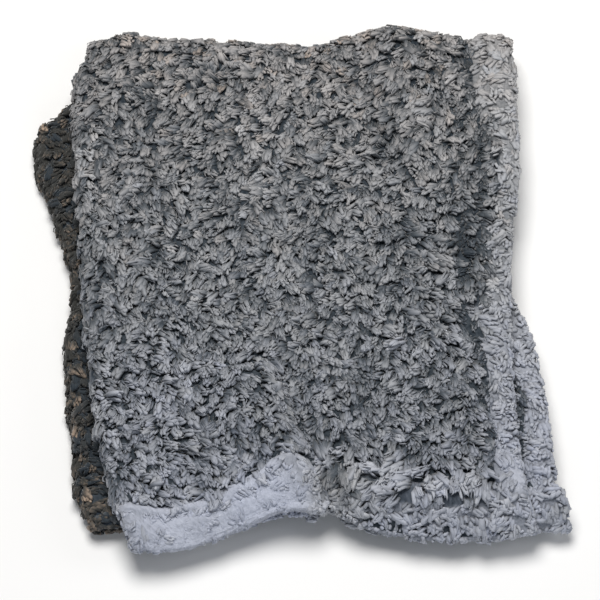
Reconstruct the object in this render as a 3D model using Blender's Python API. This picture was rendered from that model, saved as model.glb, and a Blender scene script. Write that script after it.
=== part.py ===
"""A sherpa blanket folded in four, as one closed solid of cloth.

The cloth is folded across at the left, then along at the back, so four leaves lie on each other.
Two leaves joined at the left fold make a pair: the top pair lies over the bottom pair, and the
back fold joins the two pairs. The cloth's four sides are turned hems, loose at the right and front.

Every point of the cloth has two shares. `across` runs from -1, the hem of the inner leaf, through
0, the left fold, to 1, the hem of the outer leaf. `along` runs from -1, the front hem of the bottom
pair, through 0, the back fold, to 1, the front hem of the top pair.

Metres, +X right, +Y to the back, +Z up. The origin is the middle of the underside.
"""

import math
from collections import namedtuple

import bpy
import numpy as np

# The cloth as it was cut, with its pile.
CLOTH_WIDTH = 0.760
CLOTH_LENGTH = 1.000
FACE_THICKNESS = 0.0092
HEM_THICKNESS = 0.0102
SEAM_THICKNESS = 0.0056
RIM_THICKNESS = 0.0034
RIM_ROUNDING = 0.005
HEM_WIDTH = 0.034
SEAM_HALF_WIDTH = 0.006

# How the leaves lie on each other.
LEAF_PITCH = 0.0118
LEAF_OFFSET = LEAF_PITCH / 2
BOTTOM_PAIR_HEIGHT = LEAF_OFFSET + FACE_THICKNESS / 2
TOP_PAIR_HEIGHT = BOTTOM_PAIR_HEIGHT + 2 * LEAF_PITCH
FOLD_REACH = LEAF_OFFSET + FACE_THICKNESS / 2

# The share of half the cloth that each turn takes up, a quarter circle long.
ACROSS_TURN = 0.5 * math.pi * LEAF_OFFSET / (CLOTH_WIDTH / 2)
ALONG_TURN = 0.5 * math.pi * LEAF_PITCH / (CLOTH_LENGTH / 2)

# The band along each hem that isn't drawn in or let out with the cloth beside it.
HEM_BAND = 0.050

# The front of the top pair drops over the front of the bottom pair, from just before its edge.
DROP_START = 0.003
DROP_RUN = 0.034

# Where the left fold and the right hems run, seen from above. `back` is 0 at the back fold and
# 1 at the front hem, `fold` is the outermost line of the left fold, the hems are their rims, and
# `hem_width` is how wide the hem beside them lies.
SideRow = namedtuple("SideRow", "back fold outer_hem inner_hem hem_width")
TOP_SIDES = (
    SideRow(0.00, -0.191, 0.188, 0.186, 0.037),
    SideRow(0.05, -0.200, 0.190, 0.187, 0.035),
    SideRow(0.10, -0.201, 0.190, 0.187, 0.033),
    SideRow(0.21, -0.197, 0.190, 0.188, 0.026),
    SideRow(0.32, -0.193, 0.188, 0.185, 0.030),
    SideRow(0.42, -0.189, 0.181, 0.178, 0.037),
    SideRow(0.53, -0.183, 0.178, 0.178, 0.037),
    SideRow(0.61, -0.180, 0.177, 0.193, 0.037),
    SideRow(0.74, -0.171, 0.176, 0.203, 0.027),
    SideRow(0.84, -0.163, 0.178, 0.208, 0.028),
    SideRow(0.92, -0.151, 0.183, 0.209, 0.034),
    SideRow(0.96, -0.145, 0.186, 0.217, 0.035),
    SideRow(1.00, -0.138, 0.190, 0.220, 0.036),
)
BOTTOM_SIDES = (
    SideRow(0.00, -0.194, 0.184, 0.186, 0.034),
    SideRow(0.07, -0.203, 0.186, 0.187, 0.033),
    SideRow(0.11, -0.226, 0.186, 0.186, 0.033),
    SideRow(0.16, -0.237, 0.187, 0.185, 0.032),
    SideRow(0.27, -0.225, 0.184, 0.188, 0.035),
    SideRow(0.41, -0.204, 0.180, 0.184, 0.036),
    SideRow(0.52, -0.194, 0.178, 0.180, 0.034),
    SideRow(0.60, -0.199, 0.180, 0.184, 0.033),
    SideRow(0.72, -0.196, 0.186, 0.190, 0.033),
    SideRow(0.86, -0.187, 0.190, 0.196, 0.035),
    SideRow(0.94, -0.185, 0.193, 0.198, 0.036),
    SideRow(1.00, -0.172, 0.192, 0.198, 0.035),
)

# Where the back fold turns and where the front hems end, by the distance to the right. `drop` is
# how far the front of the top pair would sink past the edge of the bottom pair.
EndRow = namedtuple(
    "EndRow", "right back top_outer top_inner bottom_inner bottom_outer drop hem_width"
)
ENDS = (
    EndRow(-0.240, 0.216, -0.238, -0.236, -0.224, -0.222, 0.012, 0.034),
    EndRow(-0.200, 0.224, -0.240, -0.238, -0.227, -0.225, 0.012, 0.034),
    EndRow(-0.175, 0.230, -0.242, -0.240, -0.226, -0.224, 0.012, 0.034),
    EndRow(-0.145, 0.233, -0.245, -0.243, -0.224, -0.222, 0.012, 0.033),
    EndRow(-0.115, 0.231, -0.250, -0.247, -0.220, -0.218, 0.012, 0.032),
    EndRow(-0.080, 0.229, -0.243, -0.239, -0.210, -0.208, 0.015, 0.033),
    EndRow(-0.040, 0.227, -0.229, -0.225, -0.193, -0.191, 0.015, 0.035),
    EndRow(-0.006, 0.225, -0.219, -0.215, -0.180, -0.178, 0.015, 0.038),
    EndRow(0.014, 0.226, -0.220, -0.216, -0.180, -0.178, 0.015, 0.039),
    EndRow(0.026, 0.228, -0.213, -0.209, -0.175, -0.173, 0.016, 0.040),
    EndRow(0.036, 0.230, -0.221, -0.217, -0.184, -0.182, 0.016, 0.040),
    EndRow(0.050, 0.233, -0.229, -0.225, -0.192, -0.190, 0.017, 0.041),
    EndRow(0.082, 0.238, -0.236, -0.232, -0.200, -0.198, 0.018, 0.042),
    EndRow(0.110, 0.237, -0.239, -0.235, -0.205, -0.203, 0.018, 0.041),
    EndRow(0.160, 0.233, -0.238, -0.235, -0.205, -0.203, 0.017, 0.038),
    EndRow(0.190, 0.233, -0.232, -0.231, -0.203, -0.201, 0.016, 0.036),
    EndRow(0.220, 0.232, -0.229, -0.229, -0.200, -0.198, 0.016, 0.035),
)

# The folds that lift the top pair, each a soft ridge from its start to its end, with a half width
# to either side of the way it runs, fading out past both ends. `inner_share` is how much of the
# height the inner leaf follows: the rest opens the leaves.
Ridge = namedtuple("Ridge", "start end left right fade height inner_share")
RIDGES = (
    Ridge((-0.030, -0.115), (0.006, -0.225), 0.021, 0.070, 0.060, 0.013, 0.2),
    Ridge((-0.120, -0.080), (-0.070, -0.150), 0.050, 0.060, 0.060, 0.004, 1.0),
    Ridge((0.120, -0.110), (0.110, -0.190), 0.060, 0.050, 0.050, 0.004, 1.0),
    Ridge((0.086, 0.270), (0.094, 0.170), 0.045, 0.040, 0.070, 0.009, 1.0),
    Ridge((-0.160, 0.270), (-0.150, 0.190), 0.034, 0.034, 0.060, 0.006, 1.0),
    Ridge((0.178, 0.270), (0.180, 0.120), 0.026, 0.026, 0.050, 0.004, 1.0),
    Ridge((-0.174, 0.150), (-0.160, -0.060), 0.012, 0.012, 0.050, 0.0030, 0.0),
    Ridge((-0.148, 0.110), (-0.134, -0.020), 0.012, 0.012, 0.040, 0.0022, 0.0),
    Ridge((-0.060, 0.090), (0.040, 0.060), 0.040, 0.040, 0.050, 0.003, 0.5),
    Ridge((0.042, -0.160), (0.042, -0.235), 0.036, 0.036, 0.040, 0.002, 0.0),
)

# How many faces the solid has in its turns and leaves, and the distances from a hem's rim to the
# lines that shape its rounding, its puff and its seam.
TURN_FACES_ACROSS = 8
TURN_FACES_ALONG = 12
LEAF_FACES_ACROSS = 11
LEAF_FACES_ALONG = 16
HEM_LINES = (0.0, 0.0015, 0.005, 0.028, 0.034, 0.040)

# The step over which slopes are measured, in metres and in shares of the cloth.
STEP = 0.0005

PILE_COLOUR = (0.170, 0.178, 0.192, 1.0)
PILE_ROUGHNESS = 0.95
PILE_METALLIC = 0.0


def ease(t):
    """0 up to 0 and 1 from 1, with a soft start and end."""
    t = np.clip(t, 0.0, 1.0)
    return t * t * (3 - 2 * t)


def unit(vectors):
    return vectors / np.linalg.norm(vectors, axis=-1, keepdims=True)


def column(rows, name, at):
    """A table's column at any place along its first one, on a smooth line that never overshoots."""
    keys = np.array([row[0] for row in rows])
    values = np.array([getattr(row, name) for row in rows])
    gaps = np.diff(keys)
    slopes = np.diff(values) / gaps
    tangents = np.zeros_like(values)
    same_way = np.flatnonzero(slopes[:-1] * slopes[1:] > 0)
    tangents[same_way + 1] = 2 / (1 / slopes[same_way] + 1 / slopes[same_way + 1])
    at = np.clip(at, keys[0], keys[-1])
    i = np.clip(np.searchsorted(keys, at) - 1, 0, len(gaps) - 1)
    t = (at - keys[i]) / gaps[i]
    bend = t * (1 - t) * gaps[i] * ((1 - t) * tangents[i] - t * tangents[i + 1])
    return values[i] + ease(t) * (values[i + 1] - values[i]) + bend


def ridge_height(ridge, x, y):
    """The height of one ridge at a place seen from above."""
    start, end = np.array(ridge.start), np.array(ridge.end)
    length = np.linalg.norm(end - start)
    way = (end - start) / length
    from_start = (x - start[0]) * way[0] + (y - start[1]) * way[1]
    to_left = (y - start[1]) * way[0] - (x - start[0]) * way[1]
    beyond = np.maximum(np.maximum(-from_start, from_start - length), 0.0)
    half_width = np.where(to_left > 0, ridge.left, ridge.right)
    return ridge.height * ease(1 - np.abs(to_left) / half_width) * ease(1 - beyond / ridge.fade)


def top_pair_height(x, y):
    """The height of the middle of the top pair, with what both its leaves do."""
    lift = sum(ridge.inner_share * ridge_height(ridge, x, y) for ridge in RIDGES)
    past_edge = column(ENDS, "bottom_inner", x) - y
    drop = column(ENDS, "drop", x) * ease((past_edge - DROP_START) / DROP_RUN)
    return TOP_PAIR_HEIGHT + lift - drop


def outer_lift(x, y):
    """How much further the ridges lift the outer leaf of the top pair."""
    return sum((1 - ridge.inner_share) * ridge_height(ridge, x, y) for ridge in RIDGES)


def turn_angle(share, turn):
    """The angle round a fold, from -90 degrees on one side of it to 90 degrees on the other."""
    return np.clip(share / turn, -1, 1) * math.pi / 2


def hem_distance(share, cloth_size):
    """How far a point of the cloth is from the nearer of two opposite hems."""
    return (1 - np.abs(share)) * cloth_size / 2


def between(to_hem, leaf_size, fold_line, hem_line, hem_width):
    """A place between a fold and a hem, with the hem as wide as it lies there."""
    spread = hem_width / HEM_WIDTH * np.sign(fold_line - hem_line)
    band = np.minimum(to_hem, HEM_BAND)
    rest = np.minimum((to_hem - band) / (leaf_size - HEM_BAND), 1)
    return hem_line + spread * band + rest * (fold_line - hem_line - spread * HEM_BAND)


def mixed(share, first, second):
    return share * first + (1 - share) * second


def cloth_middle(across, along):
    """The middle surface of the folded cloth."""
    left_turn = turn_angle(across, ACROSS_TURN)
    back_turn = turn_angle(along, ALONG_TURN)
    in_outer = (1 + np.sin(left_turn)) / 2
    in_top = (1 + np.sin(back_turn)) / 2
    to_front = np.maximum(np.abs(along) - ALONG_TURN, 0) / (1 - ALONG_TURN)

    def side(name):
        return mixed(
            in_top, column(TOP_SIDES, name, to_front), column(BOTTOM_SIDES, name, to_front)
        )

    x = between(
        hem_distance(across, CLOTH_WIDTH),
        CLOTH_WIDTH / 2 * (1 - ACROSS_TURN),
        side("fold") + FOLD_REACH,
        mixed(in_outer, side("outer_hem"), side("inner_hem")),
        side("hem_width"),
    )
    top_hem = mixed(in_outer, column(ENDS, "top_outer", x), column(ENDS, "top_inner", x))
    bottom_hem = mixed(in_outer, column(ENDS, "bottom_outer", x), column(ENDS, "bottom_inner", x))
    y = between(
        hem_distance(along, CLOTH_LENGTH),
        CLOTH_LENGTH / 2 * (1 - ALONG_TURN),
        column(ENDS, "back", x),
        mixed(in_top, top_hem, bottom_hem),
        mixed(in_top, column(ENDS, "hem_width", x), HEM_WIDTH),
    )

    rise = top_pair_height(x, y) - BOTTOM_PAIR_HEIGHT
    slope_x = (top_pair_height(x + STEP, y) - top_pair_height(x - STEP, y)) / (2 * STEP)
    slope_y = (top_pair_height(x, y + STEP) - top_pair_height(x, y - STEP)) / (2 * STEP)
    back_slope = (column(ENDS, "back", x + STEP) - column(ENDS, "back", x - STEP)) / (2 * STEP)
    round_back, up = np.cos(back_turn), np.sin(back_turn)
    pair = np.stack([x, y + rise / 2 * round_back, BOTTOM_PAIR_HEIGHT + in_top * rise], axis=-1)
    normal = unit(
        np.stack(
            [
                -back_slope * round_back - slope_x * in_top,
                round_back - slope_y * np.maximum(up, 0) ** 4,
                up,
            ],
            axis=-1,
        )
    )
    rightward = unit(np.array([1.0, 0.0, 0.0]) - normal[..., :1] * normal)
    middle = pair + LEAF_OFFSET * (
        np.sin(left_turn)[..., None] * normal - np.cos(left_turn)[..., None] * rightward
    )
    opened = np.maximum(up, 0) ** 2 * np.maximum(np.sin(left_turn), 0) ** 2
    middle[..., 2] += opened * outer_lift(x, y)
    return middle


def cloth_normal(across, along):
    """The cloth's normal on the side that shows when it is folded."""
    low, high = np.maximum(across - STEP, -1), np.minimum(across + STEP, 1)
    along_low, along_high = np.maximum(along - STEP, -1), np.minimum(along + STEP, 1)
    sideways = cloth_middle(high, along) - cloth_middle(low, along)
    forwards = cloth_middle(across, along_high) - cloth_middle(across, along_low)
    return unit(np.cross(forwards, sideways))


def cloth_thickness(across, along):
    """The thickness with its pile: puffed along the hems, pulled in at the seam, round at the rim."""
    to_hem = np.minimum(hem_distance(across, CLOTH_WIDTH), hem_distance(along, CLOTH_LENGTH))
    puff = ease((HEM_WIDTH - to_hem) / SEAM_HALF_WIDTH)
    thickness = mixed(puff, HEM_THICKNESS, FACE_THICKNESS)
    seam = ease(1 - np.abs(to_hem - HEM_WIDTH) / SEAM_HALF_WIDTH)
    thickness = mixed(seam, SEAM_THICKNESS, thickness)
    rim = np.clip(1 - to_hem / RIM_ROUNDING, 0, 1)
    return mixed(np.sqrt(1 - rim**2), thickness, RIM_THICKNESS)


def grid_lines(cloth_size, turn, turn_faces, leaf_faces):
    """The shares where the solid has a line of points: close in the turn, the hem and the rim."""
    hem = 1 - np.array(HEM_LINES[::-1]) / (cloth_size / 2)
    half = np.concatenate(
        [
            np.linspace(0, turn, turn_faces // 2 + 1),
            np.linspace(turn, hem[0], leaf_faces + 1)[1:-1],
            hem,
        ]
    )
    return np.concatenate([-half[:0:-1], half])


def cloth_mesh(name):
    """The closed mesh: the two faces of the cloth, and the rim that joins them along its hems."""
    across, along = np.meshgrid(
        grid_lines(CLOTH_WIDTH, ACROSS_TURN, TURN_FACES_ACROSS, LEAF_FACES_ACROSS),
        grid_lines(CLOTH_LENGTH, ALONG_TURN, TURN_FACES_ALONG, LEAF_FACES_ALONG),
        indexing="ij",
    )
    middle = cloth_middle(across, along)
    half = cloth_normal(across, along) * cloth_thickness(across, along)[..., None] / 2
    faces = np.stack([middle + half, middle - half])
    faces[..., 2] = np.maximum(faces[..., 2], 0)
    low, high = faces.reshape(-1, 3).min(axis=0), faces.reshape(-1, 3).max(axis=0)
    faces -= [(low[0] + high[0]) / 2, (low[1] + high[1]) / 2, low[2]]

    index = np.arange(faces.size // 3).reshape(faces.shape[:3])
    shown, hidden = index
    quads = [quad_rows(shown), quad_rows(hidden)[:, ::-1]]
    ring = np.concatenate([shown[:-1, 0], shown[-1, :-1], shown[:0:-1, -1], shown[0, :0:-1]])
    under = ring + shown.size
    quads.append(np.stack([ring, np.roll(ring, -1), np.roll(under, -1), under], axis=-1))
    mesh = bpy.data.meshes.new(name)
    mesh.from_pydata(faces.reshape(-1, 3).tolist(), [], np.concatenate(quads).tolist())
    return mesh


def quad_rows(index):
    """The quads of a grid of point numbers."""
    corners = [index[:-1, :-1], index[:-1, 1:], index[1:, 1:], index[1:, :-1]]
    return np.stack(corners, axis=-1).reshape(-1, 4)


def pile_material():
    material = bpy.data.materials.new("frosted_pile")
    material.use_nodes = True
    shader = material.node_tree.nodes["Principled BSDF"]
    shader.inputs["Base Color"].default_value = PILE_COLOUR
    shader.inputs["Roughness"].default_value = PILE_ROUGHNESS
    shader.inputs["Metallic"].default_value = PILE_METALLIC
    return material


def main():
    for old in list(bpy.data.objects):
        bpy.data.objects.remove(old, do_unlink=True)
    blanket = bpy.data.objects.new("blanket", cloth_mesh("blanket"))
    blanket.data.materials.append(pile_material())
    blanket.data.shade_smooth()
    bpy.context.scene.collection.objects.link(blanket)


main()
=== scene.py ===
"""The looks of a sherpa blanket folded in four: a knit ground with thousands of curly pile locks.

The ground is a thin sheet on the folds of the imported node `blanket`, so the functions that fold the
cloth are the same as in its source. Every pile lock is a bundle of closed tufts that grows from
that ground, leans the way the pile is brushed and curls over, round the folds and rims too. The
turned hems have a low felt between their tufts.

Metres, +X right, +Y to the back, +Z up. A flat place is `u` across and `v` along the cloth as it
was cut, from its middle, on the `side` 1 that shows on the top leaf or on the other side, -1.
"""

import math
from collections import namedtuple

import bpy
import numpy as np
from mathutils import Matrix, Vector
from mathutils.bvhtree import BVHTree


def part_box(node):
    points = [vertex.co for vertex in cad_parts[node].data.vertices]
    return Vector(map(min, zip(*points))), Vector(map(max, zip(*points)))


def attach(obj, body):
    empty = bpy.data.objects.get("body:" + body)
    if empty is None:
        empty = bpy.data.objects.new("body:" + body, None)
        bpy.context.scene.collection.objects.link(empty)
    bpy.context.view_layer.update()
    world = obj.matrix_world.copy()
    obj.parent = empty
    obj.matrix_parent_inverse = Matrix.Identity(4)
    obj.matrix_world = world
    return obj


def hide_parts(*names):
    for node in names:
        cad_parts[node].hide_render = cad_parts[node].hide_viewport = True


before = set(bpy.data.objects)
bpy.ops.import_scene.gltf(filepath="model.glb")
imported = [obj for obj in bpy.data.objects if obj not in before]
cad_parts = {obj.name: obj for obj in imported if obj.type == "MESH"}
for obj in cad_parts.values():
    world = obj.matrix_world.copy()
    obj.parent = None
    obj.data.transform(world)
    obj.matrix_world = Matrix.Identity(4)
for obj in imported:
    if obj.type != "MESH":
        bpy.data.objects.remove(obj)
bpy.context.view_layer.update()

NODE = "blanket"
BODY = "root"

# The cloth as it was cut, with its pile.
CLOTH_WIDTH = 0.760
CLOTH_LENGTH = 1.000
FACE_THICKNESS = 0.0092
HEM_THICKNESS = 0.0102
SEAM_THICKNESS = 0.0056
RIM_THICKNESS = 0.0034
RIM_ROUNDING = 0.005
HEM_WIDTH = 0.034
SEAM_HALF_WIDTH = 0.006

# How the leaves lie on each other.
LEAF_PITCH = 0.0118
LEAF_OFFSET = LEAF_PITCH / 2
BOTTOM_PAIR_HEIGHT = LEAF_OFFSET + FACE_THICKNESS / 2
TOP_PAIR_HEIGHT = BOTTOM_PAIR_HEIGHT + 2 * LEAF_PITCH
FOLD_REACH = LEAF_OFFSET + FACE_THICKNESS / 2

# The share of half the cloth that each turn takes up, a quarter circle long.
ACROSS_TURN = 0.5 * math.pi * LEAF_OFFSET / (CLOTH_WIDTH / 2)
ALONG_TURN = 0.5 * math.pi * LEAF_PITCH / (CLOTH_LENGTH / 2)

# The band along each hem that isn't drawn in or let out with the cloth beside it.
HEM_BAND = 0.050

# The front of the top pair drops over the front of the bottom pair, from just before its edge.
DROP_START = 0.003
DROP_RUN = 0.034

# Where the left fold and the right hems run, seen from above. `back` is 0 at the back fold and
# 1 at the front hem, `fold` is the outermost line of the left fold, the hems are their rims, and
# `hem_width` is how wide the hem beside them lies.
SideRow = namedtuple("SideRow", "back fold outer_hem inner_hem hem_width")
TOP_SIDES = (
    SideRow(0.00, -0.191, 0.188, 0.186, 0.037),
    SideRow(0.05, -0.200, 0.190, 0.187, 0.035),
    SideRow(0.10, -0.201, 0.190, 0.187, 0.033),
    SideRow(0.21, -0.197, 0.190, 0.188, 0.026),
    SideRow(0.32, -0.193, 0.188, 0.185, 0.030),
    SideRow(0.42, -0.189, 0.181, 0.178, 0.037),
    SideRow(0.53, -0.183, 0.178, 0.178, 0.037),
    SideRow(0.61, -0.180, 0.177, 0.193, 0.037),
    SideRow(0.74, -0.171, 0.176, 0.203, 0.027),
    SideRow(0.84, -0.163, 0.178, 0.208, 0.028),
    SideRow(0.92, -0.151, 0.183, 0.209, 0.034),
    SideRow(0.96, -0.145, 0.186, 0.217, 0.035),
    SideRow(1.00, -0.138, 0.190, 0.220, 0.036),
)
BOTTOM_SIDES = (
    SideRow(0.00, -0.194, 0.184, 0.186, 0.034),
    SideRow(0.07, -0.203, 0.186, 0.187, 0.033),
    SideRow(0.11, -0.226, 0.186, 0.186, 0.033),
    SideRow(0.16, -0.237, 0.187, 0.185, 0.032),
    SideRow(0.27, -0.225, 0.184, 0.188, 0.035),
    SideRow(0.41, -0.204, 0.180, 0.184, 0.036),
    SideRow(0.52, -0.194, 0.178, 0.180, 0.034),
    SideRow(0.60, -0.199, 0.180, 0.184, 0.033),
    SideRow(0.72, -0.196, 0.186, 0.190, 0.033),
    SideRow(0.86, -0.187, 0.190, 0.196, 0.035),
    SideRow(0.94, -0.185, 0.193, 0.198, 0.036),
    SideRow(1.00, -0.172, 0.192, 0.198, 0.035),
)

# Where the back fold turns and where the front hems end, by the distance to the right. `drop` is
# how far the front of the top pair would sink past the edge of the bottom pair.
EndRow = namedtuple(
    "EndRow", "right back top_outer top_inner bottom_inner bottom_outer drop hem_width"
)
ENDS = (
    EndRow(-0.240, 0.216, -0.238, -0.236, -0.224, -0.222, 0.012, 0.034),
    EndRow(-0.200, 0.224, -0.240, -0.238, -0.227, -0.225, 0.012, 0.034),
    EndRow(-0.175, 0.230, -0.242, -0.240, -0.226, -0.224, 0.012, 0.034),
    EndRow(-0.145, 0.233, -0.245, -0.243, -0.224, -0.222, 0.012, 0.033),
    EndRow(-0.115, 0.231, -0.250, -0.247, -0.220, -0.218, 0.012, 0.032),
    EndRow(-0.080, 0.229, -0.243, -0.239, -0.210, -0.208, 0.015, 0.033),
    EndRow(-0.040, 0.227, -0.229, -0.225, -0.193, -0.191, 0.015, 0.035),
    EndRow(-0.006, 0.225, -0.219, -0.215, -0.180, -0.178, 0.015, 0.038),
    EndRow(0.014, 0.226, -0.220, -0.216, -0.180, -0.178, 0.015, 0.039),
    EndRow(0.026, 0.228, -0.213, -0.209, -0.175, -0.173, 0.016, 0.040),
    EndRow(0.036, 0.230, -0.221, -0.217, -0.184, -0.182, 0.016, 0.040),
    EndRow(0.050, 0.233, -0.229, -0.225, -0.192, -0.190, 0.017, 0.041),
    EndRow(0.082, 0.238, -0.236, -0.232, -0.200, -0.198, 0.018, 0.042),
    EndRow(0.110, 0.237, -0.239, -0.235, -0.205, -0.203, 0.018, 0.041),
    EndRow(0.160, 0.233, -0.238, -0.235, -0.205, -0.203, 0.017, 0.038),
    EndRow(0.190, 0.233, -0.232, -0.231, -0.203, -0.201, 0.016, 0.036),
    EndRow(0.220, 0.232, -0.229, -0.229, -0.200, -0.198, 0.016, 0.035),
)

# The folds that lift the top pair, each a soft ridge from its start to its end, with a half width
# to either side of the way it runs, fading out past both ends. `inner_share` is how much of the
# height the inner leaf follows: the rest opens the leaves.
Ridge = namedtuple("Ridge", "start end left right fade height inner_share")
RIDGES = (
    Ridge((-0.030, -0.115), (0.006, -0.225), 0.021, 0.070, 0.060, 0.013, 0.2),
    Ridge((-0.120, -0.080), (-0.070, -0.150), 0.050, 0.060, 0.060, 0.004, 1.0),
    Ridge((0.120, -0.110), (0.110, -0.190), 0.060, 0.050, 0.050, 0.004, 1.0),
    Ridge((0.086, 0.270), (0.094, 0.170), 0.045, 0.040, 0.070, 0.009, 1.0),
    Ridge((-0.160, 0.270), (-0.150, 0.190), 0.034, 0.034, 0.060, 0.006, 1.0),
    Ridge((0.178, 0.270), (0.180, 0.120), 0.026, 0.026, 0.050, 0.004, 1.0),
    Ridge((-0.174, 0.150), (-0.160, -0.060), 0.012, 0.012, 0.050, 0.0030, 0.0),
    Ridge((-0.148, 0.110), (-0.134, -0.020), 0.012, 0.012, 0.040, 0.0022, 0.0),
    Ridge((-0.060, 0.090), (0.040, 0.060), 0.040, 0.040, 0.050, 0.003, 0.5),
    Ridge((0.042, -0.160), (0.042, -0.235), 0.036, 0.036, 0.040, 0.002, 0.0),
)

# How many faces the solid has in its turns and leaves, and the distances from a hem's rim to the
# lines that shape its rounding, its puff and its seam.
TURN_FACES_ACROSS = 8
TURN_FACES_ALONG = 12
LEAF_FACES_ACROSS = 11
LEAF_FACES_ALONG = 16
HEM_LINES = (0.0, 0.0015, 0.005, 0.028, 0.034, 0.040)

# The step over which slopes are measured, in metres and in shares of the cloth.
STEP = 0.0005


def ease(t):
    """0 up to 0 and 1 from 1, with a soft start and end."""
    t = np.clip(t, 0.0, 1.0)
    return t * t * (3 - 2 * t)


def unit(vectors):
    return vectors / np.linalg.norm(vectors, axis=-1, keepdims=True)


def column(rows, name, at):
    """A table's column at any place along its first one, on a smooth line that never overshoots."""
    keys = np.array([row[0] for row in rows])
    values = np.array([getattr(row, name) for row in rows])
    gaps = np.diff(keys)
    slopes = np.diff(values) / gaps
    tangents = np.zeros_like(values)
    same_way = np.flatnonzero(slopes[:-1] * slopes[1:] > 0)
    tangents[same_way + 1] = 2 / (1 / slopes[same_way] + 1 / slopes[same_way + 1])
    at = np.clip(at, keys[0], keys[-1])
    i = np.clip(np.searchsorted(keys, at) - 1, 0, len(gaps) - 1)
    t = (at - keys[i]) / gaps[i]
    bend = t * (1 - t) * gaps[i] * ((1 - t) * tangents[i] - t * tangents[i + 1])
    return values[i] + ease(t) * (values[i + 1] - values[i]) + bend


def ridge_height(ridge, x, y):
    """The height of one ridge at a place seen from above."""
    start, end = np.array(ridge.start), np.array(ridge.end)
    length = np.linalg.norm(end - start)
    way = (end - start) / length
    from_start = (x - start[0]) * way[0] + (y - start[1]) * way[1]
    to_left = (y - start[1]) * way[0] - (x - start[0]) * way[1]
    beyond = np.maximum(np.maximum(-from_start, from_start - length), 0.0)
    half_width = np.where(to_left > 0, ridge.left, ridge.right)
    return ridge.height * ease(1 - np.abs(to_left) / half_width) * ease(1 - beyond / ridge.fade)


def top_pair_height(x, y):
    """The height of the middle of the top pair, with what both its leaves do."""
    lift = sum(ridge.inner_share * ridge_height(ridge, x, y) for ridge in RIDGES)
    past_edge = column(ENDS, "bottom_inner", x) - y
    drop = column(ENDS, "drop", x) * ease((past_edge - DROP_START) / DROP_RUN)
    return TOP_PAIR_HEIGHT + lift - drop


def outer_lift(x, y):
    """How much further the ridges lift the outer leaf of the top pair."""
    return sum((1 - ridge.inner_share) * ridge_height(ridge, x, y) for ridge in RIDGES)


def turn_angle(share, turn):
    """The angle round a fold, from -90 degrees on one side of it to 90 degrees on the other."""
    return np.clip(share / turn, -1, 1) * math.pi / 2


def hem_distance(share, cloth_size):
    """How far a point of the cloth is from the nearer of two opposite hems."""
    return (1 - np.abs(share)) * cloth_size / 2


def between(to_hem, leaf_size, fold_line, hem_line, hem_width):
    """A place between a fold and a hem, with the hem as wide as it lies there."""
    spread = hem_width / HEM_WIDTH * np.sign(fold_line - hem_line)
    band = np.minimum(to_hem, HEM_BAND)
    rest = np.minimum((to_hem - band) / (leaf_size - HEM_BAND), 1)
    return hem_line + spread * band + rest * (fold_line - hem_line - spread * HEM_BAND)


def mixed(share, first, second):
    return share * first + (1 - share) * second


def cloth_middle(across, along):
    """The middle surface of the folded cloth."""
    left_turn = turn_angle(across, ACROSS_TURN)
    back_turn = turn_angle(along, ALONG_TURN)
    in_outer = (1 + np.sin(left_turn)) / 2
    in_top = (1 + np.sin(back_turn)) / 2
    to_front = np.maximum(np.abs(along) - ALONG_TURN, 0) / (1 - ALONG_TURN)

    def side(name):
        return mixed(
            in_top, column(TOP_SIDES, name, to_front), column(BOTTOM_SIDES, name, to_front)
        )

    x = between(
        hem_distance(across, CLOTH_WIDTH),
        CLOTH_WIDTH / 2 * (1 - ACROSS_TURN),
        side("fold") + FOLD_REACH,
        mixed(in_outer, side("outer_hem"), side("inner_hem")),
        side("hem_width"),
    )
    top_hem = mixed(in_outer, column(ENDS, "top_outer", x), column(ENDS, "top_inner", x))
    bottom_hem = mixed(in_outer, column(ENDS, "bottom_outer", x), column(ENDS, "bottom_inner", x))
    y = between(
        hem_distance(along, CLOTH_LENGTH),
        CLOTH_LENGTH / 2 * (1 - ALONG_TURN),
        column(ENDS, "back", x),
        mixed(in_top, top_hem, bottom_hem),
        mixed(in_top, column(ENDS, "hem_width", x), HEM_WIDTH),
    )

    rise = top_pair_height(x, y) - BOTTOM_PAIR_HEIGHT
    slope_x = (top_pair_height(x + STEP, y) - top_pair_height(x - STEP, y)) / (2 * STEP)
    slope_y = (top_pair_height(x, y + STEP) - top_pair_height(x, y - STEP)) / (2 * STEP)
    back_slope = (column(ENDS, "back", x + STEP) - column(ENDS, "back", x - STEP)) / (2 * STEP)
    round_back, up = np.cos(back_turn), np.sin(back_turn)
    pair = np.stack([x, y + rise / 2 * round_back, BOTTOM_PAIR_HEIGHT + in_top * rise], axis=-1)
    normal = unit(
        np.stack(
            [
                -back_slope * round_back - slope_x * in_top,
                round_back - slope_y * np.maximum(up, 0) ** 4,
                up,
            ],
            axis=-1,
        )
    )
    rightward = unit(np.array([1.0, 0.0, 0.0]) - normal[..., :1] * normal)
    middle = pair + LEAF_OFFSET * (
        np.sin(left_turn)[..., None] * normal - np.cos(left_turn)[..., None] * rightward
    )
    opened = np.maximum(up, 0) ** 2 * np.maximum(np.sin(left_turn), 0) ** 2
    middle[..., 2] += opened * outer_lift(x, y)
    return middle


def cloth_steps(across, along):
    """How the middle of the cloth moves for a small step across and one along, and both steps."""
    low, high = np.maximum(across - STEP, -1), np.minimum(across + STEP, 1)
    near, far = np.maximum(along - STEP, -1), np.minimum(along + STEP, 1)
    sideways = cloth_middle(high, along) - cloth_middle(low, along)
    forwards = cloth_middle(across, far) - cloth_middle(across, near)
    return sideways, forwards, high - low, far - near


def cloth_normal(across, along):
    """The cloth's normal on the side that shows on the top leaf."""
    sideways, forwards, _, _ = cloth_steps(across, along)
    return unit(np.cross(forwards, sideways))


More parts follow.
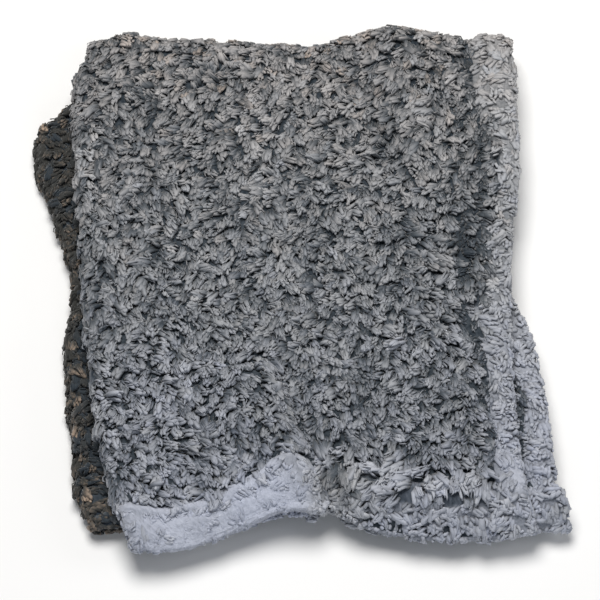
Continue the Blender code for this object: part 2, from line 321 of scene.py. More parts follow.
def cloth_ways(across, along):
    """How the middle of the cloth moves for a metre across it and for a metre along it."""
    sideways, forwards, width, length = cloth_steps(across, along)
    return (
        sideways / (width * CLOTH_WIDTH / 2)[..., None],
        forwards / (length * CLOTH_LENGTH / 2)[..., None],
    )


def cloth_thickness(across, along):
    """The thickness with its pile: puffed along the hems, thin at the seam, round at the rim."""
    to_hem = np.minimum(hem_distance(across, CLOTH_WIDTH), hem_distance(along, CLOTH_LENGTH))
    puff = ease((HEM_WIDTH - to_hem) / SEAM_HALF_WIDTH)
    thickness = mixed(puff, HEM_THICKNESS, FACE_THICKNESS)
    seam = ease(1 - np.abs(to_hem - HEM_WIDTH) / SEAM_HALF_WIDTH)
    thickness = mixed(seam, SEAM_THICKNESS, thickness)
    rim = np.clip(1 - to_hem / RIM_ROUNDING, 0, 1)
    return mixed(np.sqrt(1 - rim**2), thickness, RIM_THICKNESS)


def grid_lines(cloth_size, turn, turn_faces, leaf_faces):
    """The shares where the solid has a line of points: close in the turn, the hem and the rim."""
    hem = 1 - np.array(HEM_LINES[::-1]) / (cloth_size / 2)
    half = np.concatenate(
        [
            np.linspace(0, turn, turn_faces // 2 + 1),
            np.linspace(turn, hem[0], leaf_faces + 1)[1:-1],
            hem,
        ]
    )
    return np.concatenate([-half[:0:-1], half])


def quad_rows(index):
    """The quads of a grid of point numbers."""
    corners = [index[:-1, :-1], index[:-1, 1:], index[1:, 1:], index[1:, :-1]]
    return np.stack(corners, axis=-1).reshape(-1, 4)


# ---------------------------------------------------------------- the ground

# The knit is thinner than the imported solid, which holds its pile too. Along the hems it is turned
# over into a soft roll, which starts this far past the rim and has this power of a sine's shape.
GROUND_THICKNESS = 0.0016
GROUND_HEM_THICKNESS = 0.0058
ROLL_START = 0.004
ROLL_POWER = 0.6
GROUND_FACES_ACROSS = 66
GROUND_FACES_ALONG = 86

# Nothing comes nearer the surface that the blanket lies on than this.
LEAST_HEIGHT = 0.0002


def ground_thickness(across, along):
    """The thickness of the knit: a soft roll along the hems, and held down where they are sewn."""
    to_hem = np.minimum(hem_distance(across, CLOTH_WIDTH), hem_distance(along, CLOTH_LENGTH))
    into_roll = np.clip((to_hem + ROLL_START) / (HEM_WIDTH + ROLL_START), 0, 1)
    roll = np.sin(math.pi * into_roll) ** ROLL_POWER
    return GROUND_THICKNESS + (GROUND_HEM_THICKNESS - GROUND_THICKNESS) * roll


def fine_lines(cloth_size, turn, faces):
    """Shares across the cloth for the lines of the knit, closer in the turn of the fold."""
    turn_faces = max(4, int(2 * faces * turn))
    half = np.concatenate(
        [np.linspace(0, turn, turn_faces + 1), np.linspace(turn, 1, faces // 2 + 1)[1:]]
    )
    return np.concatenate([-half[:0:-1], half])


def both_faces(across, along, thickness, shift):
    """The points of the shown and the hidden face of the cloth, moved by the shift."""
    middle = cloth_middle(across, along) + shift
    half = cloth_normal(across, along) * thickness[..., None] / 2
    return np.stack([middle + half, middle - half])


def closed_sheet(faces):
    """The points and the quads of the closed mesh that two faces of the cloth make."""
    index = np.arange(faces.size // 3).reshape(faces.shape[:3])
    shown, hidden = index
    ring = np.concatenate([shown[:-1, 0], shown[-1, :-1], shown[:0:-1, -1], shown[0, :0:-1]])
    under = ring + shown.size
    rim = np.stack([ring, np.roll(ring, -1), np.roll(under, -1), under], axis=-1)
    quads = np.concatenate([quad_rows(shown), quad_rows(hidden)[:, ::-1], rim])
    return faces.reshape(-1, 3), quads


def solid_grid():
    """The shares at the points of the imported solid."""
    return np.meshgrid(
        grid_lines(CLOTH_WIDTH, ACROSS_TURN, TURN_FACES_ACROSS, LEAF_FACES_ACROSS),
        grid_lines(CLOTH_LENGTH, ALONG_TURN, TURN_FACES_ALONG, LEAF_FACES_ALONG),
        indexing="ij",
    )


def shift_to_node():
    """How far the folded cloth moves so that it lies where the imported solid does."""
    across, along = solid_grid()
    faces = both_faces(across, along, cloth_thickness(across, along), 0)
    faces[..., 2] = np.maximum(faces[..., 2], 0)
    low, high = faces.reshape(-1, 3).min(axis=0), faces.reshape(-1, 3).max(axis=0)
    box_low, box_high = (np.array(corner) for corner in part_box(NODE))
    shift = (box_low + box_high - low - high) / 2
    shift[2] = box_low[2] - low[2]
    return shift


SHIFT = shift_to_node()


def new_mesh(name, points, corners, counts):
    """A mesh from its points, the corners of its faces in a row, and each face's corner count."""
    mesh = bpy.data.meshes.new(name)
    mesh.vertices.add(len(points))
    mesh.vertices.foreach_set("co", points.astype(np.float32).ravel())
    mesh.loops.add(len(corners))
    mesh.loops.foreach_set("vertex_index", corners.astype(np.int32))
    mesh.polygons.add(len(counts))
    mesh.polygons.foreach_set("loop_start", (np.cumsum(counts) - counts).astype(np.int32))
    mesh.update(calc_edges=True)
    mesh.shade_smooth()
    return mesh


def add_object(mesh, material):
    piece = bpy.data.objects.new(mesh.name, mesh)
    mesh.materials.append(material)
    bpy.context.scene.collection.objects.link(piece)
    return piece


def add_attribute(mesh, name, values):
    kind, field = ("FLOAT_VECTOR", "vector") if values.ndim == 2 else ("FLOAT", "value")
    made = mesh.attributes.new(name, kind, "POINT")
    made.data.foreach_set(field, values.astype(np.float32).ravel())


def make_ground(material):
    across, along = np.meshgrid(
        fine_lines(CLOTH_WIDTH, ACROSS_TURN, GROUND_FACES_ACROSS),
        fine_lines(CLOTH_LENGTH, ALONG_TURN, GROUND_FACES_ALONG),
        indexing="ij",
    )
    faces = both_faces(across, along, ground_thickness(across, along), SHIFT)
    points, quads = closed_sheet(faces)
    points[:, 2] = np.maximum(points[:, 2], LEAST_HEIGHT)
    return add_object(new_mesh("ground", points, quads.ravel(), np.full(len(quads), 4)), material)


# ---------------------------------------------------------------- where light reaches

# How many ways to the sky are tried, how far off the pile each starts, the least that the pile has
# to face it, and how far apart the places are that are tried.
SKY_RAYS = 40
SKY_START = 0.0008
LEAST_FACING = 0.05
PROBE_SPACING = 0.008


def golden_turns(numbers):
    """Turns that spread numbered things evenly round a middle."""
    return numbers * math.pi * (3 - math.sqrt(5))


def sky_directions():
    """Even directions over the half of the sky above the surface that the blanket lies on."""
    i = np.arange(SKY_RAYS) + 0.5
    up = i / SKY_RAYS
    turn = golden_turns(i)
    level = np.sqrt(1 - up**2)
    return np.stack([level * np.cos(turn), level * np.sin(turn), up], axis=-1)


def open_sky():
    """The share of the sky that each of a grid of places on the cloth sees, for its two faces."""
    across, along = solid_grid()
    points, quads = closed_sheet(both_faces(across, along, cloth_thickness(across, along), SHIFT))
    tree = BVHTree.FromPolygons(points.tolist(), quads.tolist())
    across, along = np.meshgrid(
        np.linspace(-1, 1, int(CLOTH_WIDTH / PROBE_SPACING)),
        np.linspace(-1, 1, int(CLOTH_LENGTH / PROBE_SPACING)),
        indexing="ij",
    )
    faces = both_faces(across, along, cloth_thickness(across, along), SHIFT)
    normal = cloth_normal(across, along)
    sky = sky_directions()
    seen = np.zeros(faces.shape[:3])
    for face, side in ((0, 1), (1, -1)):
        facing = (side * normal) @ sky.T > LEAST_FACING
        starts = faces[face] + side * SKY_START * normal
        for i, j in np.ndindex(across.shape):
            start = Vector(starts[i, j])
            blocked = (tree.ray_cast(start, Vector(way))[0] for way in sky[facing[i, j]])
            seen[face, i, j] = sum(hit is None for hit in blocked)
    return seen / SKY_RAYS


def grown(field):
    """Each place's largest value among it and its neighbours."""
    for axis in (1, 2):
        back, forward = np.roll(field, 1, axis=axis), np.roll(field, -1, axis=axis)
        field = np.maximum(field, np.maximum(back, forward))
    return field


def read_grid(field, side, u, v):
    """The value of a grid over the cloth at a flat place on one of its faces."""
    rows, columns = field.shape[1:]
    i = np.clip(np.rint((u / CLOTH_WIDTH + 0.5) * (rows - 1)).astype(int), 0, rows - 1)
    j = np.clip(np.rint((v / CLOTH_LENGTH + 0.5) * (columns - 1)).astype(int), 0, columns - 1)
    return field[(side < 0).astype(int), i, j]


# ---------------------------------------------------------------- the pile

# What a lock is made of: `number` closed tufts with `sides` sides, each this `wide` and `thick`,
# as `long` and `high` as these shares of its lock. They draw together to their tips by `gather`,
# each curls on its own by about `curl` radians, and `stray` is how unevenly far apart they lie.
Bundle = namedtuple("Bundle", "number sides wide thick long high gather curl stray")
FACE_TUFTS = Bundle(5, 4, 0.0037, 0.0028, 0.95, 1.00, 0.45, 1.2, 0.0)
FACE_CURLS = Bundle(3, 3, 0.0017, 0.0012, 0.85, 1.08, 0.20, 1.4, 0.3)
HEM_TUFTS = Bundle(4, 4, 0.0038, 0.0026, 0.95, 1.00, 0.30, 1.3, 0.0)
HEM_CURLS = Bundle(1, 3, 0.0017, 0.0011, 0.80, 1.10, 0.00, 1.4, 0.3)

# A kind of lock: how far apart, how long and high, how far it bends in radians, how far it turns
# from the way it is brushed in degrees, how light its roots are, and what it is made of. The dark
# roots are the pile's own dark underfur together with painted shade down in the pile.
LockKind = namedtuple("LockKind", "spacing length height curl turn root bundles")
FACE_LOCK = LockKind(0.0081, 0.0094, 0.0052, 1.1, 32, 0.00, (FACE_TUFTS, FACE_CURLS))
HEM_LOCK = LockKind(0.0087, 0.0078, 0.0034, 1.1, 60, 0.30, (HEM_TUFTS, HEM_CURLS))

# Locks grow this far past the rims, moved off an even grid by up to this share of its spacing, and
# only where they see this share of the sky. The outside of a fold is longer by this ratio.
RIM_BAND = 0.004
SITE_JITTER = 0.36
LEAST_SKY = 0.06
OUTER_STRETCH = 1.9

# Where the folds stretch the cloth by more than a ratio drawn between these two, another lock
# grows these shares of the spacing on, across and along.
EXTRA_STRETCH = (1.1, 1.5)
EXTRA_OFFSET = (0.5, 0.3)

# The height that slopes of the pile are measured at, the step they are measured over, the longest
# flat step for a metre, and the least that the cloth's two ways may be spread.
PILE_MIDDLE = 0.004
PILE_STEP = 0.0006
MOST_FLAT_STEP = 1.15
LEAST_SPREAD = 0.05

# A random field is made of this many waves, each between these shares of its wavelength long.
WAVE_COUNT = 24
WAVE_LENGTHS = (0.7, 1.6)

# How the locks differ. Waves over the cloth, each with its wavelength: two turn the pile by so
# many degrees, one deepens it, one makes it paler, and lumps do both, less so in a hem.
SWAY_WAVES = ((0.050, 22), (0.020, 14))
DEEPER_WAVE = (0.034, 0.14)
PALER_WAVE = (0.045, 0.40)
LUMP_WAVELENGTH = 0.017
LUMP_DEEPER = 0.22
LUMP_PALER = 0.75
HEM_LUMP_SHARE = 0.4

# Each lock's own chance differences: how spread they are, and the least and most they come to. A
# curl is never nearer straight than this, and locks are as much larger as the cloth is stretched.
Chance = namedtuple("Chance", "spread least most")
SIZES = Chance(0.22, 0.6, 1.7)
HEIGHTS = Chance(0.12, 0.35, 1.7)
CURLS = Chance(0.8, -1.8, 1.8)
LENGTHS = (0.8, 1.2)
UNEVEN_TONE = 0.5
UNEVEN_TINT = 0.25
LEAST_CURL = 0.05
STRETCHES = (0.8, 1.8)

# The pile is painted bluer towards the front, as cool light from the front, by one step for each of
# these distances, and bluer by this in the hems, as that cool light on them.
PAINTED_COOL_LIGHT_EVERY = 0.25
HEM_PAINTED_COOL_LIGHT = 0.3

# The way the pile is brushed, as a turn to the right from straight to the front, in degrees, at
# places seen from above, with how far each place's rule reaches.
Brush = namedtuple("Brush", "x y turn reach")
BRUSHED = (
    Brush(-0.156, 0.110, -6, 0.050),
    Brush(-0.146, 0.196, -30, 0.030),
    Brush(-0.091, 0.202, -80, 0.035),
    Brush(-0.020, 0.090, -35, 0.055),
    Brush(0.097, 0.164, -32, 0.050),
    Brush(0.135, 0.000, 62, 0.035),
    Brush(0.060, 0.000, -20, 0.050),
    Brush(-0.140, -0.030, 5, 0.050),
    Brush(-0.119, -0.135, 30, 0.050),
    Brush(-0.076, -0.205, 30, 0.040),
    Brush(0.049, -0.215, -35, 0.025),
    Brush(0.122, -0.155, 8, 0.050),
    Brush(0.178, 0.160, 25, 0.030),
    Brush(0.185, -0.020, 30, 0.035),
    Brush(0.200, -0.170, 15, 0.030),
)
BRUSH_DOWN = 0.35
UNBRUSHED_WEIGHT = 0.02

# Places that are paler, bluer or deeper in pile than the rest, or less so with a minus. Some are
# painted light and shade: the right end of the front-left lobe, which faces the light, and the lower
# right hems are painted paler, and the notch beside that lobe is painted darker and browner as shade.
Patch = namedtuple("Patch", "x y reach paler bluer deeper")
PATCHES = (
    Patch(-0.030, 0.085, 0.045, 0.0, 0.0, -0.25),
    Patch(-0.090, -0.240, 0.055, 1.2, 0.5, -0.10),
    # Painted light on the right end of the front-left lobe, which faces the light.
    Patch(-0.015, -0.225, 0.034, 2.0, 0.8, -0.20),
    Patch(0.168, 0.040, 0.045, -1.0, 0.0, 0.15),
    # Painted light on the lower right hems.
    Patch(0.205, -0.090, 0.045, 0.8, 0.4, 0.0),
    Patch(0.205, -0.170, 0.045, 0.9, 0.5, 0.0),
    # Painted shade in the notch beside the front-left lobe, darker and browner.
    Patch(0.046, -0.212, 0.026, -0.8, -1.0, 0.1),
    Patch(0.115, -0.212, 0.034, 0.3, 0.2, 0.2),
    Patch(-0.100, -0.130, 0.060, 0.9, 0.4, 0.15),
    Patch(-0.020, 0.170, 0.060, 0.6, 0.0, 0.0),
    Patch(0.130, 0.000, 0.050, -0.3, 0.0, 0.1),
)

# Lines over the top leaf where the pile parts or stands up: paler and deeper than the rest beside
# the line, out to about this reach. The paler lines are painted light on raised pile, the darker
# ones painted shade where the pile parts.
Crease = namedtuple("Crease", "start end reach paler deeper")
CREASES = (
    Crease((-0.173, 0.134), (-0.170, 0.075), 0.005, 2.2, 0.25),
    Crease((-0.165, 0.150), (-0.163, 0.070), 0.005, -2.6, -0.40),
    Crease((-0.149, 0.139), (-0.148, 0.094), 0.004, -2.0, -0.35),
    Crease((-0.127, 0.196), (-0.128, 0.150), 0.004, -2.0, -0.30),
    Crease((-0.119, 0.164), (-0.119, 0.085), 0.004, -2.2, -0.35),
    Crease((-0.096, 0.152), (-0.096, 0.114), 0.004, -1.6, -0.25),
    Crease((0.058, -0.085), (0.062, -0.135), 0.006, -1.6, -0.20),
    Crease((0.018, -0.155), (0.026, -0.190), 0.006, -1.2, -0.20),
    Crease((0.076, -0.214), (0.120, -0.216), 0.006, 2.2, 0.25),
    Crease((0.070, -0.226), (0.128, -0.228), 0.005, -2.0, -0.25),
    Crease((0.022, -0.196), (0.052, -0.205), 0.006, -1.2, 0.0),
)

# Where a hem has long pile as the face has: between these places seen from above, further than
# this from its rim.
FurryHem = namedtuple("FurryHem", "left right front back start")
FURRY_HEMS = (
    FurryHem(0.030, 0.165, -0.300, -0.120, 0.020),
    FurryHem(0.140, 0.240, -0.040, 0.150, 0.016),
)

# The hems are paler and more even in tone than the face, and the right ones get painted shade
# beside their seam, out to this reach. In furry hems the felt gets painted shade under the long
# pile, and the pile over the seam is longer, not shorter, by this share of what the seam does
# elsewhere.
HEM_PALER = 1.9
HEM_EVEN = 0.5
HEM_SEAM_PAINTED_SHADE = -2.2
HEM_SEAM_PAINTED_SHADE_REACH = 0.014
FURRY_FELT_PAINTED_SHADE = -1.6
FURRY_SEAM_SHARE = -0.70

# The seams: how far they sway, in waves with this seed and length, how wide a band of pile beside
# them is held down and short, to which share, and how much paler it is than the rest. The hold
# fades out at this many bands away. The right seam's darker band is painted shade in its groove.
Seam = namedtuple("Seam", "seed sway wavelength band low paler")
RIGHT_SEAM = Seam(77, 0.0024, 0.055, 0.0040, 0.50, -3.2)
FRONT_SEAM = Seam(78, 0.0010, 0.035, 0.0065, 0.55, 1.6)
SEAM_BAND_FADE = 1.6

# The face is paler beside the front seam, this far from it and in front of this line.
SEAM_PALER = 1.4
SEAM_PALER_REACH = 0.016
SEAM_PALER_LINE = -0.12

# How much narrower the hems look where the face's pile falls over them, from where on the flat
# cloth, and over what length: the right hems by the front and the front hems by the left fold.
Narrowing = namedtuple("Narrowing", "by start over")
RIGHT_NARROWING = Narrowing(0.010, 0.27, 0.06)
FRONT_NARROWING = Narrowing(0.011, 0.21, 0.11)

# The smooth ridge above the front seam of the top leaf: its size, where it runs, seen from above,
# and how it fades at its ends and at the right seam.
RIDGE_WIDTH = 0.0070
RIDGE_HEIGHT = 0.0030
RIDGE_LEFT = -0.160
RIDGE_RIGHT = 0.020
RIDGE_FADE = 0.014
RIDGE_SEAM_FADE = 0.01

# The bottom pair is painted dark as shade where it shows as a ledge at the left fold, and its
# rim is painted paler and browner as warm light: out to what distance from the fold, over what
# fade, and how much paler and bluer each is. The ledge is more uneven in tone by this share, its
# painted shade is stronger by this share in its hem, and its palest tufts are painted the
# brownest, as warm light.
PaintedLight = namedtuple("PaintedLight", "reach fade paler bluer")
PAINTED_LEDGE_SHADE = PaintedLight(0.075, 0.02, -5.3, -1.6)
PAINTED_WARM_RIM = PaintedLight(0.011, 0.01, 0.6, -3.2)
LEDGE_SHADE_UNEVEN = 1.8
LEDGE_SHADE_IN_HEM = 1.3
LEDGE_WARM_LIGHT_IF_PALE = 2.0

# Shares at the three rings and the tip of a tuft: along its path, its width, and its rise.
PATH = np.array([0.0, 0.34, 0.78, 1.0])
FULL = np.array([0.66, 1.00, 0.92])
RISE = np.array([0.12, 0.86, 0.95, 0.74])
RINGS = 3
MOST_ROLL = math.radians(105)

# Where the tufts of a lock are: out to this share of the spacing, and from this share of its
# kind's length behind its place. The outermost are lower by this share, and each is sunk by this
# share of its thickness, but not lower than this over the knit.
TUFT_SPREAD = 0.55
ROOT_BACK = 0.3
OUTER_LOWER = 0.35
TUFT_SUNK = 0.4
LEAST_RISE = 0.0002

# The tufts' own differences from their lock: shares drawn between two limits, the most that one
# curls in radians, and the spreads of its turn about itself and of its tone.
TUFT_LENGTHS = (0.70, 1.25)
TUFT_HEIGHTS = (0.70, 1.15)
TUFT_WIDTHS = (0.70, 1.30)
STRAY_RANGE = (-1, 2)
MOST_TUFT_CURL = 2.6
TUFT_ROLL = 0.45
TUFT_TONE = 0.35

# How light the tips are, how much painted shade darkens a tuft's underside, how far its tip counts
# as on top for that painted shade, the share of its curl that it starts turned back by, and how far
# apart the noise of two tufts is.
TIP_REACH = 0.8
UNDERSIDE_PAINTED_SHADE = 0.6
TIP_TOPMOST = 0.8
CURL_START = 0.3
FIBRE_STEP = 0.0137

# The turn of a tuft's first corner, and over what height the lowest points of the tufts are
# spread, so that they don't lie in one plane, each this share of it on from the last.
FIRST_CORNER = 7 * math.pi / 6
FLOOR_SPREAD = 0.0004
GOLDEN_SHARE = 0.618

# In the bake map: the margin of a tuft's cell, the share of the cell that its cap takes up, and
# that share with a gap.
CELL_MARGIN = 0.07
CAP_SHARE = 0.16
CAP_AND_GAP = 0.22

# The pile's pieces: their name, how many sides their tufts have, and how many pieces they fill.
PILE_PIECES = (("tufts", 4, 4), ("curls", 3, 2))
FACE_SEED = 11
HEM_SEED = 23

# Many closed tubes at once: the points of their middle lines, the way up at each, half their size
# sideways and upwards at each ring, how pale each point is, from the frosted tip down to roots that
# are dark both in their own colour and with painted shade, and their own turn, tone, tint and length.
Tubes = namedtuple("Tubes", "points up aside above reach roll tone tint length")


def waves(seed, wavelength):
    """A smooth random field over the flat cloth, seldom past -2 or 2."""
    rng = np.random.default_rng(seed)
    turn, phase = rng.uniform(0, 2 * math.pi, (2, WAVE_COUNT))
    rate = 2 * math.pi / (wavelength * rng.uniform(*WAVE_LENGTHS, WAVE_COUNT))

    def field(u, v):
        parts = [
            np.sin(k * (u * math.cos(a) + v * math.sin(a)) + p)
            for k, a, p in zip(rate, turn, phase)
        ]
        return sum(parts) * math.sqrt(2 / WAVE_COUNT)

    return field


def flat_place(distance, cloth_size, turn, stretch):
    """The flat place at some distance over the outside of the folded cloth, from its fold."""
    flat_turn = turn * cloth_size / 2
    rest = cloth_size / 2 - flat_turn + RIM_BAND
    outer = flat_turn * stretch
    knots = [0, outer, outer + rest]
    return np.sign(distance) * np.interp(np.abs(distance), knots, [0, flat_turn, flat_turn + rest])


def lock_sites(spacing, rng):
    """Flat places for locks on both faces, evenly apart on the outside of the folded cloth."""
    reach_u = CLOTH_WIDTH / 2 + RIM_BAND + (OUTER_STRETCH - 1) * ACROSS_TURN * CLOTH_WIDTH / 2
    reach_v = CLOTH_LENGTH / 2 + RIM_BAND + (OUTER_STRETCH - 1) * ALONG_TURN * CLOTH_LENGTH / 2
    rows = np.arange(-reach_v, reach_v, spacing * math.sqrt(3) / 2)
    columns = np.arange(-reach_u, reach_u, spacing)
    s, t = np.meshgrid(columns, rows, indexing="ij")
    s = s + spacing / 2 * (np.arange(len(rows)) % 2)
    s, t = np.stack([s.ravel(), s.ravel()]), np.stack([t.ravel(), t.ravel()])
    s = s + rng.uniform(-SITE_JITTER, SITE_JITTER, s.shape) * spacing
    t = t + rng.uniform(-SITE_JITTER, SITE_JITTER, t.shape) * spacing
    u = flat_place(s, CLOTH_WIDTH, ACROSS_TURN, OUTER_STRETCH)
    v = flat_place(t, CLOTH_LENGTH, ALONG_TURN, OUTER_STRETCH)
    side = np.stack([np.ones(s.shape[1]), -np.ones(s.shape[1])])
    return u.ravel(), v.ravel(), side.ravel()


def on_cloth(u, v, margin=0.0):
    """The nearest flat place on the cloth that is this far in from its rim."""
    across, along = CLOTH_WIDTH / 2 - margin, CLOTH_LENGTH / 2 - margin
    return np.clip(u, -across, across), np.clip(v, -along, along)


def place(u, v, side, height, most_roll=MOST_ROLL):
    """The place this high over the knit at a flat place, rolled over the rim if it is past it."""
    inner_u, inner_v = on_cloth(u, v)
    across, along = inner_u / (CLOTH_WIDTH / 2), inner_v / (CLOTH_LENGTH / 2)
    middle = cloth_middle(across, along) + SHIFT
    normal = cloth_normal(across, along) * side[..., None]
    radius = ground_thickness(across, along) / 2 + height
    past = np.hypot(u - inner_u, v - inner_v)
    roll = np.minimum(past / radius, most_roll)
    points = middle + (radius * np.cos(roll))[..., None] * normal
    over = past > 0
    sideways, forwards = cloth_ways(across[over], along[over])
    out = (u - inner_u)[over][:, None] * sideways + (v - inner_v)[over][:, None] * forwards
    out = unit(out)
    points[over] += (radius * np.sin(roll))[over][:, None] * out
    turned = np.cos(roll)[over][:, None] * normal[over] + np.sin(roll)[over][:, None] * out
    normal[over] = turned
    return points, normal


def surface_ways(u, v, side):
    """As cloth_ways, for the outside of the pile."""
    step = PILE_STEP
    u, v = on_cloth(u, v, step)
    high = np.full(u.shape, PILE_MIDDLE)
    sideways = place(u + step, v, side, high)[0] - place(u - step, v, side, high)[0]
    forwards = place(u, v + step, side, high)[0] - place(u, v - step, side, high)[0]
    return sideways / (2 * step), forwards / (2 * step)


def brushed_way(points, extra_turn):
    """The way the pile is brushed at each place, turned by some more degrees to the right."""
    weights = [
        np.exp(-((points[:, 0] - b.x) ** 2 + (points[:, 1] - b.y) ** 2) / (2 * b.reach**2))
        for b in BRUSHED
    ]
    turn = sum(w * b.turn for w, b in zip(weights, BRUSHED)) / (sum(weights) + UNBRUSHED_WEIGHT)
    turn = np.radians(turn + extra_turn)
    return np.stack([np.sin(turn), -np.cos(turn), np.full(turn.shape, -BRUSH_DOWN)], axis=-1)


def spot_share(points, spot):
    """1 in a round spot seen from above, falling to 0 past its reach."""
    off = (points[..., 0] - spot.x) ** 2 + (points[..., 1] - spot.y) ** 2
    return np.exp(-((off / spot.reach**2) ** 2))


def patched(points, name):
    """The sum of what the patches add at each place."""
    return sum(getattr(patch, name) * spot_share(points, patch) for patch in PATCHES)


def creased(points, name):
    """The sum of what the creases add at each place."""
    total = 0
    for crease in CREASES:
        start, end = np.array(crease.start), np.array(crease.end)
        way = end - start
        along = np.clip((points[:, :2] - start) @ way / (way @ way), 0, 1)
        off = np.linalg.norm(points[:, :2] - start - along[:, None] * way, axis=-1)
        total = total + getattr(crease, name) * np.exp(-((off / crease.reach) ** 2))
    return total


def to_flat(way, sideways, forwards):
    """The flat step that moves a place this way over the folded cloth."""
    a = np.sum(sideways * sideways, axis=-1)
    b = np.sum(sideways * forwards, axis=-1)
    d = np.sum(forwards * forwards, axis=-1)
    first, second = np.sum(way * sideways, axis=-1), np.sum(way * forwards, axis=-1)
    spread = np.maximum(a * d - b * b, LEAST_SPREAD)
    step_u, step_v = (d * first - b * second) / spread, (a * second - b * first) / spread
    step = np.stack([step_u, step_v], axis=-1)
    size = np.linalg.norm(step, axis=-1, keepdims=True)
    return step * np.minimum(1, MOST_FLAT_STEP / size)


def curled_path(length, curl, at):
    """How far forwards and to the side a curling path is at shares of its length."""
    start = CURL_START * curl
    forwards = length / curl * (np.sin(curl * at - start) + np.sin(start))
    sideways = length / curl * (np.cos(start) - np.cos(curl * at - start))
    return forwards, sideways


def never_straight(curl):
    return np.where(np.abs(curl) < LEAST_CURL, LEAST_CURL, curl)


# Many locks at once: their flat places and sides, the flat steps for a metre ahead and to the
# side, and each one's size and looks.
Locks = namedtuple("Locks", "u v side ahead beside length height curl tone tint")


def from_seams(u, v):
    """How far a place is over the seam into the face, for the right hems and the front hems."""
    right_sway, front_sway = (
        seam.sway * waves(seam.seed, seam.wavelength)(u, v) for seam in (RIGHT_SEAM, FRONT_SEAM)
    )
    right, front = RIGHT_NARROWING, FRONT_NARROWING
    right_width = HEM_WIDTH - right.by * ease((np.abs(v) - right.start) / right.over)
    front_width = HEM_WIDTH - front.by * ease((front.start - np.abs(u)) / front.over)
    return (
        CLOTH_WIDTH / 2 - np.abs(u) - right_width + right_sway,
        CLOTH_LENGTH / 2 - np.abs(v) - front_width + front_sway,
    )


def ridge_share(x, u, v, side):
    """How high the ridge along the front seam stands at a place, as a share."""
    run = ease((x - RIDGE_LEFT) / RIDGE_FADE) * ease((RIDGE_RIGHT - x) / RIDGE_FADE)
    from_right, _ = from_seams(u, v)
    return run * (v > 0) * (side > 0) * (u > 0) * ease(from_right / RIDGE_SEAM_FADE)


def painted_light_share(row, u, v):
    """How far a place has one of the bottom pair's rows of painted shade and light, as a share."""
    return ease((row.reach - np.abs(u)) / row.fade) * (v < 0)


def in_furry_hem(points, u, v, side):
    """Whether a place of the top leaf is where its hem has long pile."""
    to_rim = np.minimum(CLOTH_WIDTH / 2 - np.abs(u), CLOTH_LENGTH / 2 - np.abs(v))
    furry = [
        (f.left < points[..., 0])
        & (points[..., 0] < f.right)
        & (f.front < points[..., 1])
        & (points[..., 1] < f.back)
        & (to_rim > f.start)
        for f in FURRY_HEMS
    ]
    return np.any(furry, axis=0) & (u > 0) & (v > 0) & (side > 0)


def with_extras(u, v, side, spacing, rng):
    """Adds sites where the folds stretch the cloth, halfway to the next ones."""
    sideways, forwards = surface_ways(u, v, side)
    stretch = np.linalg.norm(np.cross(sideways, forwards), axis=-1)
    more = ~in_turns(u, v) & (rng.uniform(*EXTRA_STRETCH, u.shape) < stretch)
    u = np.concatenate([u, u[more] + spacing * EXTRA_OFFSET[0]])
    v = np.concatenate([v, v[more] + spacing * EXTRA_OFFSET[1]])
    return u, v, np.concatenate([side, side[more]])


def on_top_leaf(u, v, side):
    return (u > ACROSS_TURN * CLOTH_WIDTH / 2) & (v > ALONG_TURN * CLOTH_LENGTH / 2) & (side > 0)


def in_turns(u, v):
    in_left = np.abs(u) < ACROSS_TURN * CLOTH_WIDTH / 2
    return in_left | (np.abs(v) < ALONG_TURN * CLOTH_LENGTH / 2)


def brushed_steps(u, v, side, sway):
    """The flat steps for a metre the way the pile is brushed and for a metre to its side."""
    root, normal = place(u, v, side, np.full(u.shape, PILE_MIDDLE))
    sideways, forwards = surface_ways(u, v, side)
    way = brushed_way(root, sway)
    way = unit(way - np.sum(way * normal, axis=-1, keepdims=True) * normal)
    ahead = to_flat(way, sideways, forwards)
    beside = to_flat(np.cross(normal, way), sideways, forwards)
    stretch = np.linalg.norm(np.cross(sideways, forwards), axis=-1)
    return root, ahead, beside, np.where(in_turns(u, v), 1, np.clip(stretch, *STRETCHES)) ** 0.5


